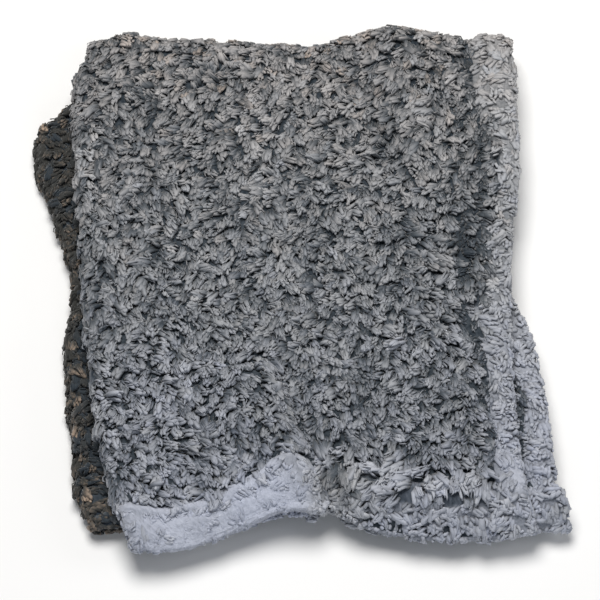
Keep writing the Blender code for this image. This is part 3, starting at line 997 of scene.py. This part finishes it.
def plan_locks(kind, in_hem, sky, seed):
    """Where the locks of one kind are, and what each is like."""
    rng = np.random.default_rng(seed)
    u, v, side = lock_sites(kind.spacing, rng)
    seen = (read_grid(sky, side, u, v) > LEAST_SKY) | on_top_leaf(u, v, side)
    u, v, side = with_extras(u[seen], v[seen], side[seen], kind.spacing, rng)
    root = place(u, v, side, np.zeros(u.shape))[0]
    from_right, from_front = from_seams(u, v)
    furry = in_furry_hem(root, u, v, side)
    felt = (np.minimum(from_right, from_front) < 0) & ~furry
    keep = felt if in_hem else ~felt
    kept = (u, v, side, from_right, from_front, furry)
    u, v, side, from_right, from_front, furry = (a[keep] for a in kept)
    right_seam = ease(SEAM_BAND_FADE - np.abs(from_right) / RIGHT_SEAM.band) * (from_front > 0)
    front_seam = ease(SEAM_BAND_FADE - np.abs(from_front) / FRONT_SEAM.band) * (from_right > 0)
    count = len(u)
    sway = sum(
        degrees * waves(seed + 1 + i, wavelength)(u, v)
        for i, (wavelength, degrees) in enumerate(SWAY_WAVES)
    )
    sway = sway + rng.normal(0, kind.turn, count)
    root, ahead, beside, stretch = brushed_steps(u, v, side, sway)

    size = np.exp(rng.normal(0, SIZES.spread, count))
    size = stretch * np.clip(size, SIZES.least, SIZES.most)
    lump = waves(seed + 5, LUMP_WAVELENGTH)(u, v) * (HEM_LUMP_SHARE if in_hem else 1)
    on_top = on_top_leaf(u, v, side)
    wavelength, share = DEEPER_WAVE
    deeper = 1 + patched(root, "deeper") + share * waves(seed + 3, wavelength)(u, v)
    deeper = deeper + LUMP_DEEPER * lump + creased(root, "deeper") * on_top
    front_held = front_seam * mixed(furry, FURRY_SEAM_SHARE, 1)
    held = mixed(right_seam, RIGHT_SEAM.low, 1) * mixed(front_held, FRONT_SEAM.low, 1)
    deeper = deeper * held + rng.normal(0, HEIGHTS.spread, count)
    height = kind.height * size**0.5 * np.clip(deeper, HEIGHTS.least, HEIGHTS.most)
    curl = kind.curl * rng.normal(0, CURLS.spread, count)

    # Painted shade on the bottom pair's ledge at the left fold.
    folded = painted_light_share(PAINTED_LEDGE_SHADE, u, v) * (1 + LEDGE_SHADE_IN_HEM * in_hem)
    near_front = ease(1 - from_front / SEAM_PALER_REACH) * (from_right > 0)
    near_front = near_front * (root[:, 1] < SEAM_PALER_LINE)
    uneven = rng.normal(0, UNEVEN_TONE, count)
    wavelength, share = PALER_WAVE
    tone = share * waves(seed + 4, wavelength)(u, v) + LUMP_PALER * lump
    tone = tone + (1 + LEDGE_SHADE_UNEVEN * folded) * uneven
    tone = tone + patched(root, "paler") + PAINTED_LEDGE_SHADE.paler * folded
    # Painted light and shade along the creases.
    tone = tone + creased(root, "paler") * on_top
    tone = tone + (HEM_PALER if in_hem else SEAM_PALER * near_front)
    # The right seam's darker band is painted shade in its groove.
    tone = tone + RIGHT_SEAM.paler * right_seam + FRONT_SEAM.paler * front_seam
    if in_hem:
        tone = tone - HEM_EVEN * (tone - np.median(tone))
        # Painted shade in the right hems beside their seam.
        inside = ease(1 + from_right / HEM_SEAM_PAINTED_SHADE_REACH)
        tone = tone + HEM_SEAM_PAINTED_SHADE * inside * (from_right < from_front)
    # Painted warm light on the rim of that ledge.
    warm_rim_light = painted_light_share(PAINTED_WARM_RIM, u, v)
    tone = tone + PAINTED_WARM_RIM.paler * warm_rim_light
    # Painted cool light: bluer towards the front and in the hems.
    tint = patched(root, "bluer") - root[:, 1] / PAINTED_COOL_LIGHT_EVERY + HEM_PAINTED_COOL_LIGHT * in_hem
    # Painted warm light: the ledge is browner, most on its paler tufts.
    tint = tint + (PAINTED_LEDGE_SHADE.bluer - LEDGE_WARM_LIGHT_IF_PALE * uneven) * folded
    tint = tint + PAINTED_WARM_RIM.bluer * warm_rim_light
    return Locks(
        u,
        v,
        side,
        ahead,
        beside,
        kind.length * size * held**0.5 * rng.uniform(*LENGTHS, count),
        height,
        never_straight(np.clip(curl, CURLS.least, CURLS.most)),
        tone,
        tint + rng.normal(0, UNEVEN_TINT, count),
    )


def spread_flat(locks, forward, across):
    """The flat places this far ahead of each lock and to its side."""
    extra = (1,) * (forward.ndim - 1)
    flat = forward[..., None] * locks.ahead.reshape(-1, *extra, 2)
    flat = flat + across[..., None] * locks.beside.reshape(-1, *extra, 2)
    flat_u = locks.u.reshape(-1, *extra) + flat[..., 0]
    flat_v = locks.v.reshape(-1, *extra) + flat[..., 1]
    return flat_u, flat_v, np.broadcast_to(locks.side.reshape(-1, *extra), flat_u.shape)


def bundle_tubes(kind, bundle, locks, rng):
    """One kind of tuft in every lock."""
    shape = (len(locks.u), bundle.number)
    order = np.arange(bundle.number) + 0.5
    spread = kind.spacing * TUFT_SPREAD
    off = spread * np.sqrt(order / bundle.number) * (bundle.number > 1)
    off = off * (1 + bundle.stray * rng.uniform(*STRAY_RANGE, shape))
    angle = golden_turns(order) + rng.uniform(0, 2 * math.pi, (len(locks.u), 1))
    off_ahead, off_beside = off * np.cos(angle), off * np.sin(angle)
    length = locks.length[:, None] * bundle.long * rng.uniform(*TUFT_LENGTHS, shape)
    curl = locks.curl[:, None] + bundle.curl * rng.normal(0, 1, shape)
    curl = never_straight(np.clip(curl, -MOST_TUFT_CURL, MOST_TUFT_CURL))
    forward, across = curled_path(length[..., None], curl[..., None], PATH)
    drawn = 1 - bundle.gather * PATH
    forward = forward + off_ahead[..., None] * drawn - ROOT_BACK * kind.length
    across = across + off_beside[..., None] * drawn
    crown = 1 - OUTER_LOWER * np.minimum(off_beside / spread, 1) ** 2
    height = locks.height[:, None] * bundle.high * crown * rng.uniform(*TUFT_HEIGHTS, shape)
    width = bundle.wide * rng.uniform(*TUFT_WIDTHS, shape)
    width = width * (locks.length[:, None] / kind.length) ** 0.5
    middle = np.maximum(height[..., None] * RISE - TUFT_SUNK * bundle.thick, LEAST_RISE)
    u, v, side = spread_flat(locks, forward, across)
    points, up = place(u, v, side, middle)
    merge = (-1, RINGS + 1)
    return Tubes(
        points.reshape(*merge, 3),
        up.reshape(*merge, 3),
        (width[..., None] / 2 * FULL).reshape(-1, RINGS),
        (width[..., None] * bundle.thick / bundle.wide / 2 * FULL).reshape(-1, RINGS),
        # Paler to the frosted tips; the dark roots hold painted shade as well as their own colour.
        np.broadcast_to(mixed(PATH, TIP_REACH, kind.root), forward.shape).reshape(merge),
        rng.normal(0, TUFT_ROLL, shape).ravel(),
        (locks.tone[:, None] + rng.normal(0, TUFT_TONE, shape)).ravel(),
        np.repeat(locks.tint, bundle.number),
        length.ravel(),
    )


def tube_mesh(name, tubes, sides):
    """One mesh of many closed tubes: rings of points, a tip, and a cap at the root."""
    count = len(tubes.points)
    along = unit(np.gradient(tubes.points, axis=1))
    aside = unit(np.cross(along, tubes.up))
    above = np.cross(aside, along)
    cos, sin = np.cos(tubes.roll)[:, None, None], np.sin(tubes.roll)[:, None, None]
    aside, above = cos * aside + sin * above, cos * above - sin * aside
    turn = FIRST_CORNER - np.arange(sides) * 2 * math.pi / sides
    ring = tubes.points[:, :RINGS, None]
    ring = ring + (tubes.aside[..., None] * np.cos(turn))[..., None] * aside[:, :RINGS, None]
    ring = ring + (tubes.above[..., None] * np.sin(turn))[..., None] * above[:, :RINGS, None]
    rings = ring.reshape(count, RINGS * sides, 3)
    vertices = np.concatenate([rings, tubes.points[:, RINGS:]], axis=1)
    floor = LEAST_HEIGHT + FLOOR_SPREAD * np.mod(np.arange(count) * GOLDEN_SHARE, 1)
    vertices[..., 2] = np.maximum(vertices[..., 2], floor[:, None])

    # The corners of one tube's faces, with how far each is up the tube and round it.
    corners, counts, uv = [], [], []
    tip = RINGS * sides
    for k in range(RINGS - 1):
        for i in range(sides):
            j = (i + 1) % sides
            corners += [k * sides + i, k * sides + j, (k + 1) * sides + j, (k + 1) * sides + i]
            counts.append(4)
            uv += [(i, k), (i + 1, k), (i + 1, k + 1), (i, k + 1)]
    for i in range(sides):
        corners += [tip - sides + i, tip - sides + (i + 1) % sides, tip]
        counts.append(3)
        uv += [(i, RINGS - 1), (i + 1, RINGS - 1), (i + 0.5, RINGS)]
    corners += list(range(sides))[::-1]
    counts.append(sides)
    uv = np.array(uv, float) / (sides, RINGS)
    uv[:, 1] = CAP_AND_GAP + (1 - CAP_AND_GAP) * uv[:, 1]
    cap = 0.5 + 0.5 * np.stack([np.cos(turn), np.sin(turn)], axis=-1)[::-1]
    uv = CELL_MARGIN + (1 - 2 * CELL_MARGIN) * np.concatenate([uv, cap * (1, CAP_SHARE)])
    per_tube = tip + 1
    all_corners = (np.arange(count)[:, None] * per_tube + corners).ravel()
    mesh = new_mesh(name, vertices.reshape(-1, 3), all_corners, np.tile(counts, count))

    level = np.append(np.repeat(PATH[:RINGS], sides), 1.0)
    topmost = np.append(np.tile((1 + np.sin(turn)) / 2, RINGS), TIP_TOPMOST)
    reach = np.repeat(tubes.reach[:, :RINGS], sides, axis=1)
    reach = np.concatenate([reach, tubes.reach[:, RINGS:]], axis=1)
    # Painted shade: the undersides of the tufts, away from their tops, are made darker.
    darker = UNDERSIDE_PAINTED_SHADE * (1 - topmost) * (1 - tubes.reach[:, :1])
    add_attribute(mesh, "reach", (reach * (1 - darker)).ravel())
    add_attribute(mesh, "tone", np.repeat(tubes.tone, per_tube))
    add_attribute(mesh, "tint", np.repeat(tubes.tint, per_tube))
    round_it = np.append(np.tile(np.cos(turn), RINGS), 0.0)
    widest = tubes.aside.max(axis=1)
    fibre = np.stack(
        [
            round_it * widest[:, None],
            level * tubes.length[:, None],
            np.broadcast_to(np.arange(count)[:, None] * FIBRE_STEP, (count, per_tube)),
        ],
        axis=-1,
    )
    add_attribute(mesh, "fibre", fibre.reshape(-1, 3))

    # Each tube has a cell of its own in the OFBake map.
    cells = math.ceil(math.sqrt(count))
    cell = np.stack([np.arange(count) % cells, np.arange(count) // cells], axis=-1)
    layer = mesh.uv_layers.new(name="OFBake")
    layer.uv.foreach_set("vector", ((cell[:, None] + uv) / cells).astype(np.float32).ravel())
    return mesh


def joined(parts):
    return Tubes(*(np.concatenate(values) for values in zip(*parts)))


def make_pile(material, sky):
    """The pieces of the pile, each under the limit of triangles: tufts, and the finer curls."""
    rng = np.random.default_rng(FACE_SEED)
    kinds = (
        (FACE_LOCK, plan_locks(FACE_LOCK, False, sky, FACE_SEED)),
        (HEM_LOCK, plan_locks(HEM_LOCK, True, sky, HEM_SEED)),
    )
    made = []
    for name, sides, pieces in PILE_PIECES:
        tubes = joined(
            [
                bundle_tubes(kind, bundle, locks, rng)
                for kind, locks in kinds
                for bundle in kind.bundles
                if bundle.sides == sides
            ]
        )
        for i in range(pieces):
            part = Tubes(*(values[i::pieces] for values in tubes))
            made.append(add_object(tube_mesh(f"{name}_{i + 1}", part, sides), material))
    return made


# ---------------------------------------------------------------- the hems

# The felt of the hems: the size of its faces on the top pair and on the bottom pair, how far past
# the seam it goes, how high it stands over the knit, how it drops to the seam, its lines round the
# rim, where the far one comes to lie outermost, and how many it has on the hidden side.
FELT_STEPS = (0.0024, 0.0040)
FELT_PAST_SEAM = 0.0080
FELT_HEIGHT = 0.0001
FELT_SUNK = 0.0007
FELT_SHOULDER = 0.0045
FELT_ROUND_RIM = (0.0014, 0.0030)
FELT_PAST_RIM = 0.03
HIDDEN_FELT_LINES = 6

# Its clumps and the finer lumps on them, each with a seed, a wavelength and a height. The other
# side of the cloth has other ones, this far off in the same waves.
CLUMPS = ((90, 0.022, 0.0006), (91, 0.009, 0.0005))
LUMPS = (99, 0.0055, 0.00028)
OTHER_SIDE_OFF = 3

# Its tone wave, and how light it is between its tufts, in furry hems and in the seams' grooves,
# each darker than the tufts' tips as painted shade from the tufts, the long pile and the groove.
FELT_WAVE = (97, 0.045, 0.5)
FELT_REACH = 0.30
FURRY_FELT_REACH = 0.08
RIGHT_GROOVE_REACH = 0.06
FRONT_GROOVE_REACH = 0.40

# The shares of `u`, `v` and the side that its noise runs with, and its least height.
FELT_FIBRE = (0.5, 3.5, 0.01)
LEAST_FELT_HEIGHT = LEAST_HEIGHT + 0.0002

# Where the felt is matted, seen from above: so thick there that few tufts stand out of it.
Matted = namedtuple("Matted", "x y reach share")
MATTED = (
    Matted(-0.040, -0.240, 0.050, 1.0),
    Matted(-0.105, -0.252, 0.034, 0.8),
    Matted(0.004, -0.222, 0.026, 1.0),
    Matted(0.178, -0.185, 0.010, 0.8),
    Matted(0.184, -0.205, 0.012, 0.9),
)
MATTED_HEIGHT = 0.0014
MATTED_REACH = 0.56


def clumps(u, v, side):
    """How high the clumps of matted felt stand."""
    v = v + OTHER_SIDE_OFF * side
    seed, wavelength, height = LUMPS
    fine = height * waves(seed, wavelength)(u, v)
    return fine + sum(high * np.abs(waves(seed, length)(u, v)) for seed, length, high in CLUMPS)


def matted_share(points):
    """How far the felt is matted at a place, as a share."""
    return np.minimum(sum(m.share * spot_share(points, m) for m in MATTED), 1)


def felt_ring(step, shown_side):
    """Distances in from the rim, and sides, once round a hem from the seam on its shown side."""
    reach = HEM_WIDTH + FELT_PAST_SEAM
    shown = np.linspace(reach, 0, round(reach / step) + 1)
    hidden = np.linspace(0, HEM_WIDTH, HIDDEN_FELT_LINES)
    rim = -np.array(FELT_ROUND_RIM)
    inwards = np.concatenate([shown, rim, [-FELT_PAST_RIM], rim[::-1], hidden])
    side = np.where(np.arange(len(inwards)) <= len(shown) + len(rim), shown_side, -shown_side)
    return inwards, side


def felt_strip(on_right, sign_u, sign_v):
    """The flat places and sides of the felt round half a hem, by how far along it and round it."""
    step = FELT_STEPS[0] if sign_v > 0 else FELT_STEPS[1]
    inwards, side = felt_ring(step, sign_u * sign_v)
    if on_right:
        end = CLOTH_LENGTH / 2
        round_rim = end + np.array(FELT_ROUND_RIM)
        along = np.concatenate([np.linspace(0, end, round(end / step)), round_rim])
    else:
        end = CLOTH_WIDTH / 2 - HEM_WIDTH - FELT_PAST_SEAM
        along = np.linspace(0, end, round(end / step))
    along, inwards = np.meshgrid(along, inwards, indexing="ij")
    side = np.broadcast_to(side, along.shape)
    if on_right:
        return sign_u * (CLOTH_WIDTH / 2 - inwards), sign_v * along, side
    return sign_u * along, sign_v * (CLOTH_LENGTH / 2 - inwards), side


def felt_surface(u, v, side):
    """The points of the felt, and how pale each is, with painted shade darkest in the groove of its
    seam.
    """
    inner_u, inner_v = on_cloth(u, v)
    from_right, from_front = from_seams(inner_u, inner_v)
    shoulder = ease(-np.minimum(from_right, from_front) / FELT_SHOULDER)
    knit = place(inner_u, inner_v, side, np.zeros(u.shape))[0]
    share = ridge_share(knit[..., 0], inner_u, inner_v, side)
    across_ridge = np.clip(from_front / RIDGE_WIDTH, 0, 1)
    ridge = share * np.sin(math.pi * across_ridge)
    sunk = FELT_SUNK * (1 - share * (across_ridge < 1))
    matted = matted_share(knit) * (inner_u > 0) * (inner_v > 0)
    thick = FELT_HEIGHT + matted * (MATTED_HEIGHT + clumps(inner_u, inner_v, side))
    height = mixed(shoulder, thick, -sunk)
    height = height + RIDGE_HEIGHT * ridge
    points = place(u, v, side, height, math.pi / 2)[0]
    points[..., 2] = np.maximum(points[..., 2], LEAST_FELT_HEIGHT)
    # Painted shade: the felt between the tufts, under the furry hems' long pile and in the seams'
    # grooves.
    groove = np.where(from_right < from_front, RIGHT_GROOVE_REACH, FRONT_GROOVE_REACH)
    reach = mixed(np.maximum(matted, ridge), MATTED_REACH, FELT_REACH)
    reach = np.where(in_furry_hem(knit, u, v, side), FURRY_FELT_REACH, reach)
    return points, mixed(np.maximum(shoulder, ridge), reach, groove)


def closed_strip(rows, around):
    """The faces of a closed tube of points: its quads and its two ends, as corners and counts."""
    index = np.arange(rows * around).reshape(rows, around)
    quads = quad_rows(np.concatenate([index, index[:, :1]], axis=1))
    corners = np.concatenate([quads.ravel(), index[0], index[-1, ::-1]])
    return corners, np.append(np.full(len(quads), 4), [around, around])


def outwards(points, corners, counts):
    """The corners of a mesh's faces, turned over if they face inwards."""
    quads = corners[: 4 * np.sum(counts == 4)].reshape(-1, 4)
    a, b, c, d = (points[quads[:, k]] for k in range(4))
    if np.sum(np.cross(c - a, d - b) * (a + b + c + d)) > 0:
        return corners
    flipped = np.split(corners, np.cumsum(counts)[:-1])
    return np.concatenate([face[::-1] for face in flipped])


def make_felt(material):
    """The felt of the right hems and of the front hems, each one piece of four closed strips."""
    made = []
    seed, wavelength, share = FELT_WAVE
    for on_right in (True, False):
        points, corners, counts, values, start = [], [], [], [], 0
        for sign_u, sign_v in ((1, 1), (-1, 1), (1, -1), (-1, -1)):
            u, v, side = felt_strip(on_right, sign_u, sign_v)
            surface, reach = felt_surface(u, v, side)
            flat = surface.reshape(-1, 3)
            faces, sizes = closed_strip(*u.shape)
            corners.append(outwards(flat, faces, sizes) + start)
            start += len(flat)
            points.append(flat)
            counts.append(sizes)
            furry = in_furry_hem(surface, u, v, side)
            # Painted shade darkens the felt under the long pile of the furry hems.
            tone = HEM_PALER + share * waves(seed, wavelength)(u, v) + FURRY_FELT_PAINTED_SHADE * furry
            tone = tone + patched(surface, "paler")
            # Painted shade on the bottom pair's ledge, in its hem too.
            tone = tone + PAINTED_LEDGE_SHADE.paler * (1 + LEDGE_SHADE_IN_HEM) * painted_light_share(PAINTED_LEDGE_SHADE, u, v)
            # Painted cool light: bluer towards the front and in the hems.
            tint = patched(surface, "bluer") - surface[..., 1] / PAINTED_COOL_LIGHT_EVERY + HEM_PAINTED_COOL_LIGHT
            fibre = np.stack([u, v, side], axis=-1) * FELT_FIBRE
            values.append([reach.ravel(), tone.ravel(), tint.ravel(), fibre.reshape(-1, 3)])
        mesh = new_mesh(
            "right_hems" if on_right else "front_hems",
            np.concatenate(points),
            np.concatenate(corners),
            np.concatenate(counts),
        )
        for attribute, parts in zip(("reach", "tone", "tint", "fibre"), zip(*values)):
            add_attribute(mesh, attribute, np.concatenate(parts))
        made.append(add_object(mesh, material))
    return made


# ---------------------------------------------------------------- materials

# Colours of the knit by its noise and of the pile by how pale a place is, and what its tint
# multiplies them by, where the middle changes nothing. The pile's paleness is its own frost, paler
# to the tips, together with painted shade at the roots, under the tufts and in the seams' grooves.
KNIT_STOPS = ((0.3, (0.018, 0.026, 0.035)), (0.7, (0.060, 0.072, 0.086)))
PILE_STOPS = (
    (0.00, (0.027, 0.037, 0.048)),
    (0.13, (0.098, 0.111, 0.127)),
    (0.30, (0.275, 0.285, 0.303)),
    (0.50, (0.450, 0.460, 0.482)),
    (1.00, (0.720, 0.728, 0.750)),
)
TINT_STOPS = (
    (0.0, (1.36, 1.00, 0.72)),
    (0.25, (1.07, 1.00, 0.94)),
    (0.5, (1.00, 1.00, 1.00)),
    (1.0, (0.94, 0.98, 1.12)),
)

# The fine noise of the pile: its scales across and along a tuft, its detail, and how much it
# lightens and darkens. From tuft to tuft it has a scale of its own.
Grain = namedtuple("Grain", "across along detail streak")
PILE_GRAIN = Grain(1700, 240, 2, 0.24)
FELT_GRAIN = Grain(640, 90, 5, 0.55)
BETWEEN_TUFTS = 900
KNIT_SCALE = 260
KNIT_DETAIL = 3

# How a surface takes the light: its bump in metres, with its strength, and how rough and shiny.
Surface = namedtuple("Surface", "bump strength rough shiny")
KNIT_SURFACE = Surface(0.0015, 0.80, 0.95, 0.20)
PILE_SURFACE = Surface(0.0004, 0.30, 0.85, 0.25)
FELT_SURFACE = Surface(0.0022, 0.80, 0.85, 0.25)

# How far one step of tone, reach or tint moves a colour along its stops.
TONE_STEP = 0.10
REACH_STEP = 0.6
TINT_STEP = 0.25


def new_material(name):
    material = bpy.data.materials.new(name)
    material.use_nodes = True
    nodes, links = material.node_tree.nodes, material.node_tree.links
    return material, nodes, links, nodes["Principled BSDF"]


def add_noise(material, vector, scale, detail):
    """A noise over some coordinates, as a value from 0 to 1."""
    noise = material.node_tree.nodes.new("ShaderNodeTexNoise")
    noise.inputs["Scale"].default_value = scale
    noise.inputs["Detail"].default_value = detail
    material.node_tree.links.new(vector, noise.inputs["Vector"])
    return noise.outputs["Fac"]


def add_ramp(material, value, stops):
    """The colour that a value has between some stops."""
    ramp = material.node_tree.nodes.new("ShaderNodeValToRGB")
    elements = ramp.color_ramp.elements
    while len(elements) < len(stops):
        elements.new(0.5)
    for element, (at, colour) in zip(elements, stops):
        element.position = at
        element.color = (*colour, 1.0)
    material.node_tree.links.new(value, ramp.inputs["Fac"])
    return ramp.outputs["Color"]


def finish_shader(material, colour, height, surface):
    """Gives a material its colour and its dull, bumpy surface."""
    nodes, links = material.node_tree.nodes, material.node_tree.links
    shader = nodes["Principled BSDF"]
    bump = nodes.new("ShaderNodeBump")
    bump.inputs["Strength"].default_value = surface.strength
    bump.inputs["Distance"].default_value = surface.bump
    links.new(height, bump.inputs["Height"])
    links.new(bump.outputs["Normal"], shader.inputs["Normal"])
    links.new(colour, shader.inputs["Base Color"])
    shader.inputs["Roughness"].default_value = surface.rough
    shader.inputs["Specular IOR Level"].default_value = surface.shiny


def ground_material():
    material, nodes, _, _ = new_material("slate_knit")
    place_of = nodes.new("ShaderNodeTexCoord").outputs["Object"]
    noise = add_noise(material, place_of, KNIT_SCALE, KNIT_DETAIL)
    finish_shader(material, add_ramp(material, noise, KNIT_STOPS), noise, KNIT_SURFACE)
    return material


def pile_material(name, grain, surface):
    material, nodes, links, shader = new_material(name)

    def attribute(name):
        node = nodes.new("ShaderNodeAttribute")
        node.attribute_name = name
        return node

    def maths(kind, first, second):
        node = nodes.new("ShaderNodeMath")
        node.operation = kind
        for socket, value in zip(node.inputs, (first, second)):
            if isinstance(value, float):
                socket.default_value = value
            else:
                links.new(value, socket)
        return node.outputs[0]

    stretch = nodes.new("ShaderNodeMapping")
    stretch.inputs["Scale"].default_value = (grain.across, grain.along, BETWEEN_TUFTS)
    links.new(attribute("fibre").outputs["Vector"], stretch.inputs["Vector"])
    fine = add_noise(material, stretch.outputs["Vector"], 1.0, grain.detail)

    streak = maths("MULTIPLY", maths("SUBTRACT", fine, 0.5), grain.streak)
    lighter = maths("MULTIPLY", attribute("tone").outputs["Fac"], TONE_STEP)
    reach = maths("ADD", attribute("reach").outputs["Fac"], streak)
    reach = maths("MULTIPLY", maths("ADD", reach, lighter), REACH_STEP)
    tint = maths("MULTIPLY", attribute("tint").outputs["Fac"], TINT_STEP)
    tinted = nodes.new("ShaderNodeMix")
    tinted.data_type = "RGBA"
    tinted.blend_type = "MULTIPLY"
    tinted.inputs["Factor"].default_value = 1.0
    links.new(add_ramp(material, reach, PILE_STOPS), tinted.inputs["A"])
    links.new(add_ramp(material, maths("ADD", tint, 0.5), TINT_STOPS), tinted.inputs["B"])
    finish_shader(material, tinted.outputs["Result"], fine, surface)
    shader.inputs["Sheen Weight"].default_value = 0.2
    shader.inputs["Sheen Roughness"].default_value = 0.5
    return material


# ---------------------------------------------------------------- the stage

# The camera: its angle and distance, its sensor in millimetres, and how wide a view it has where
# it looks. The floor goes this far each way.
CAMERA_ELEVATION = math.radians(60)
CAMERA_DISTANCE = 2.2
SENSOR_WIDTH = 36.0
SEEN_WIDTH = 0.517
LOOKED_AT = (0.0104, -0.0208, 0.02)
FLOOR_HALF_WIDTH = 4

# A lamp: where it is, how large, how strong in watts, and its colour.
Lamp = namedtuple("Lamp", "name at size watts colour")
LAMPS = (
    Lamp("key", (-0.15, 0.50, 2.05), 1.3, 46, (1.0, 0.985, 0.96)),
    Lamp("right", (1.7, -0.2, 1.0), 0.9, 5, (1.0, 1.0, 1.0)),
    Lamp("front", (0.1, -1.9, 0.9), 1.2, 8, (0.84, 0.91, 1.0)),
)
WORLD_STRENGTH = 0.11


def aim(thing, at, target):
    thing.location = at
    thing.rotation_euler = (Vector(target) - Vector(at)).to_track_quat("-Z", "Y").to_euler()


def make_camera():
    data = bpy.data.cameras.new("camera")
    data.sensor_width = SENSOR_WIDTH
    data.lens = SENSOR_WIDTH * CAMERA_DISTANCE / SEEN_WIDTH
    camera = bpy.data.objects.new("camera", data)
    back = Vector((0, -math.cos(CAMERA_ELEVATION), math.sin(CAMERA_ELEVATION)))
    aim(camera, Vector(LOOKED_AT) + CAMERA_DISTANCE * back, LOOKED_AT)
    bpy.context.scene.collection.objects.link(camera)
    bpy.context.scene.camera = camera


def make_lights():
    for lamp in LAMPS:
        data = bpy.data.lights.new(lamp.name, "AREA")
        data.shape = "DISK"
        data.size = lamp.size
        data.energy = lamp.watts
        data.color = lamp.colour
        light = bpy.data.objects.new(lamp.name, data)
        aim(light, lamp.at, (0, 0, 0))
        bpy.context.scene.collection.objects.link(light)
    world = bpy.data.worlds.new("soft_sky")
    world.use_nodes = True
    world.node_tree.nodes["Background"].inputs["Color"].default_value = (1, 1, 1, 1)
    world.node_tree.nodes["Background"].inputs["Strength"].default_value = WORLD_STRENGTH
    bpy.context.scene.world = world


def make_floor():
    material, _, _, shader = new_material("pale_floor")
    shader.inputs["Base Color"].default_value = (0.92, 0.92, 0.92, 1)
    shader.inputs["Roughness"].default_value = 0.9
    mesh = bpy.data.meshes.new("floor")
    far = FLOOR_HALF_WIDTH
    corners = [(-far, -far, 0), (far, -far, 0), (far, far, 0), (-far, far, 0)]
    mesh.from_pydata(corners, [], [(0, 1, 2, 3)])
    add_object(mesh, material)


def main():
    make_camera()
    make_lights()
    make_floor()
    bpy.context.scene.view_settings.view_transform = "Standard"
    sky = grown(open_sky())
    ground = make_ground(ground_material())
    felt = make_felt(pile_material("matted_pile", FELT_GRAIN, FELT_SURFACE))
    pile = felt + make_pile(pile_material("frosted_pile", PILE_GRAIN, PILE_SURFACE), sky)
    for piece in (ground, *pile):
        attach(piece, BODY)
    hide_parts(NODE)


main()
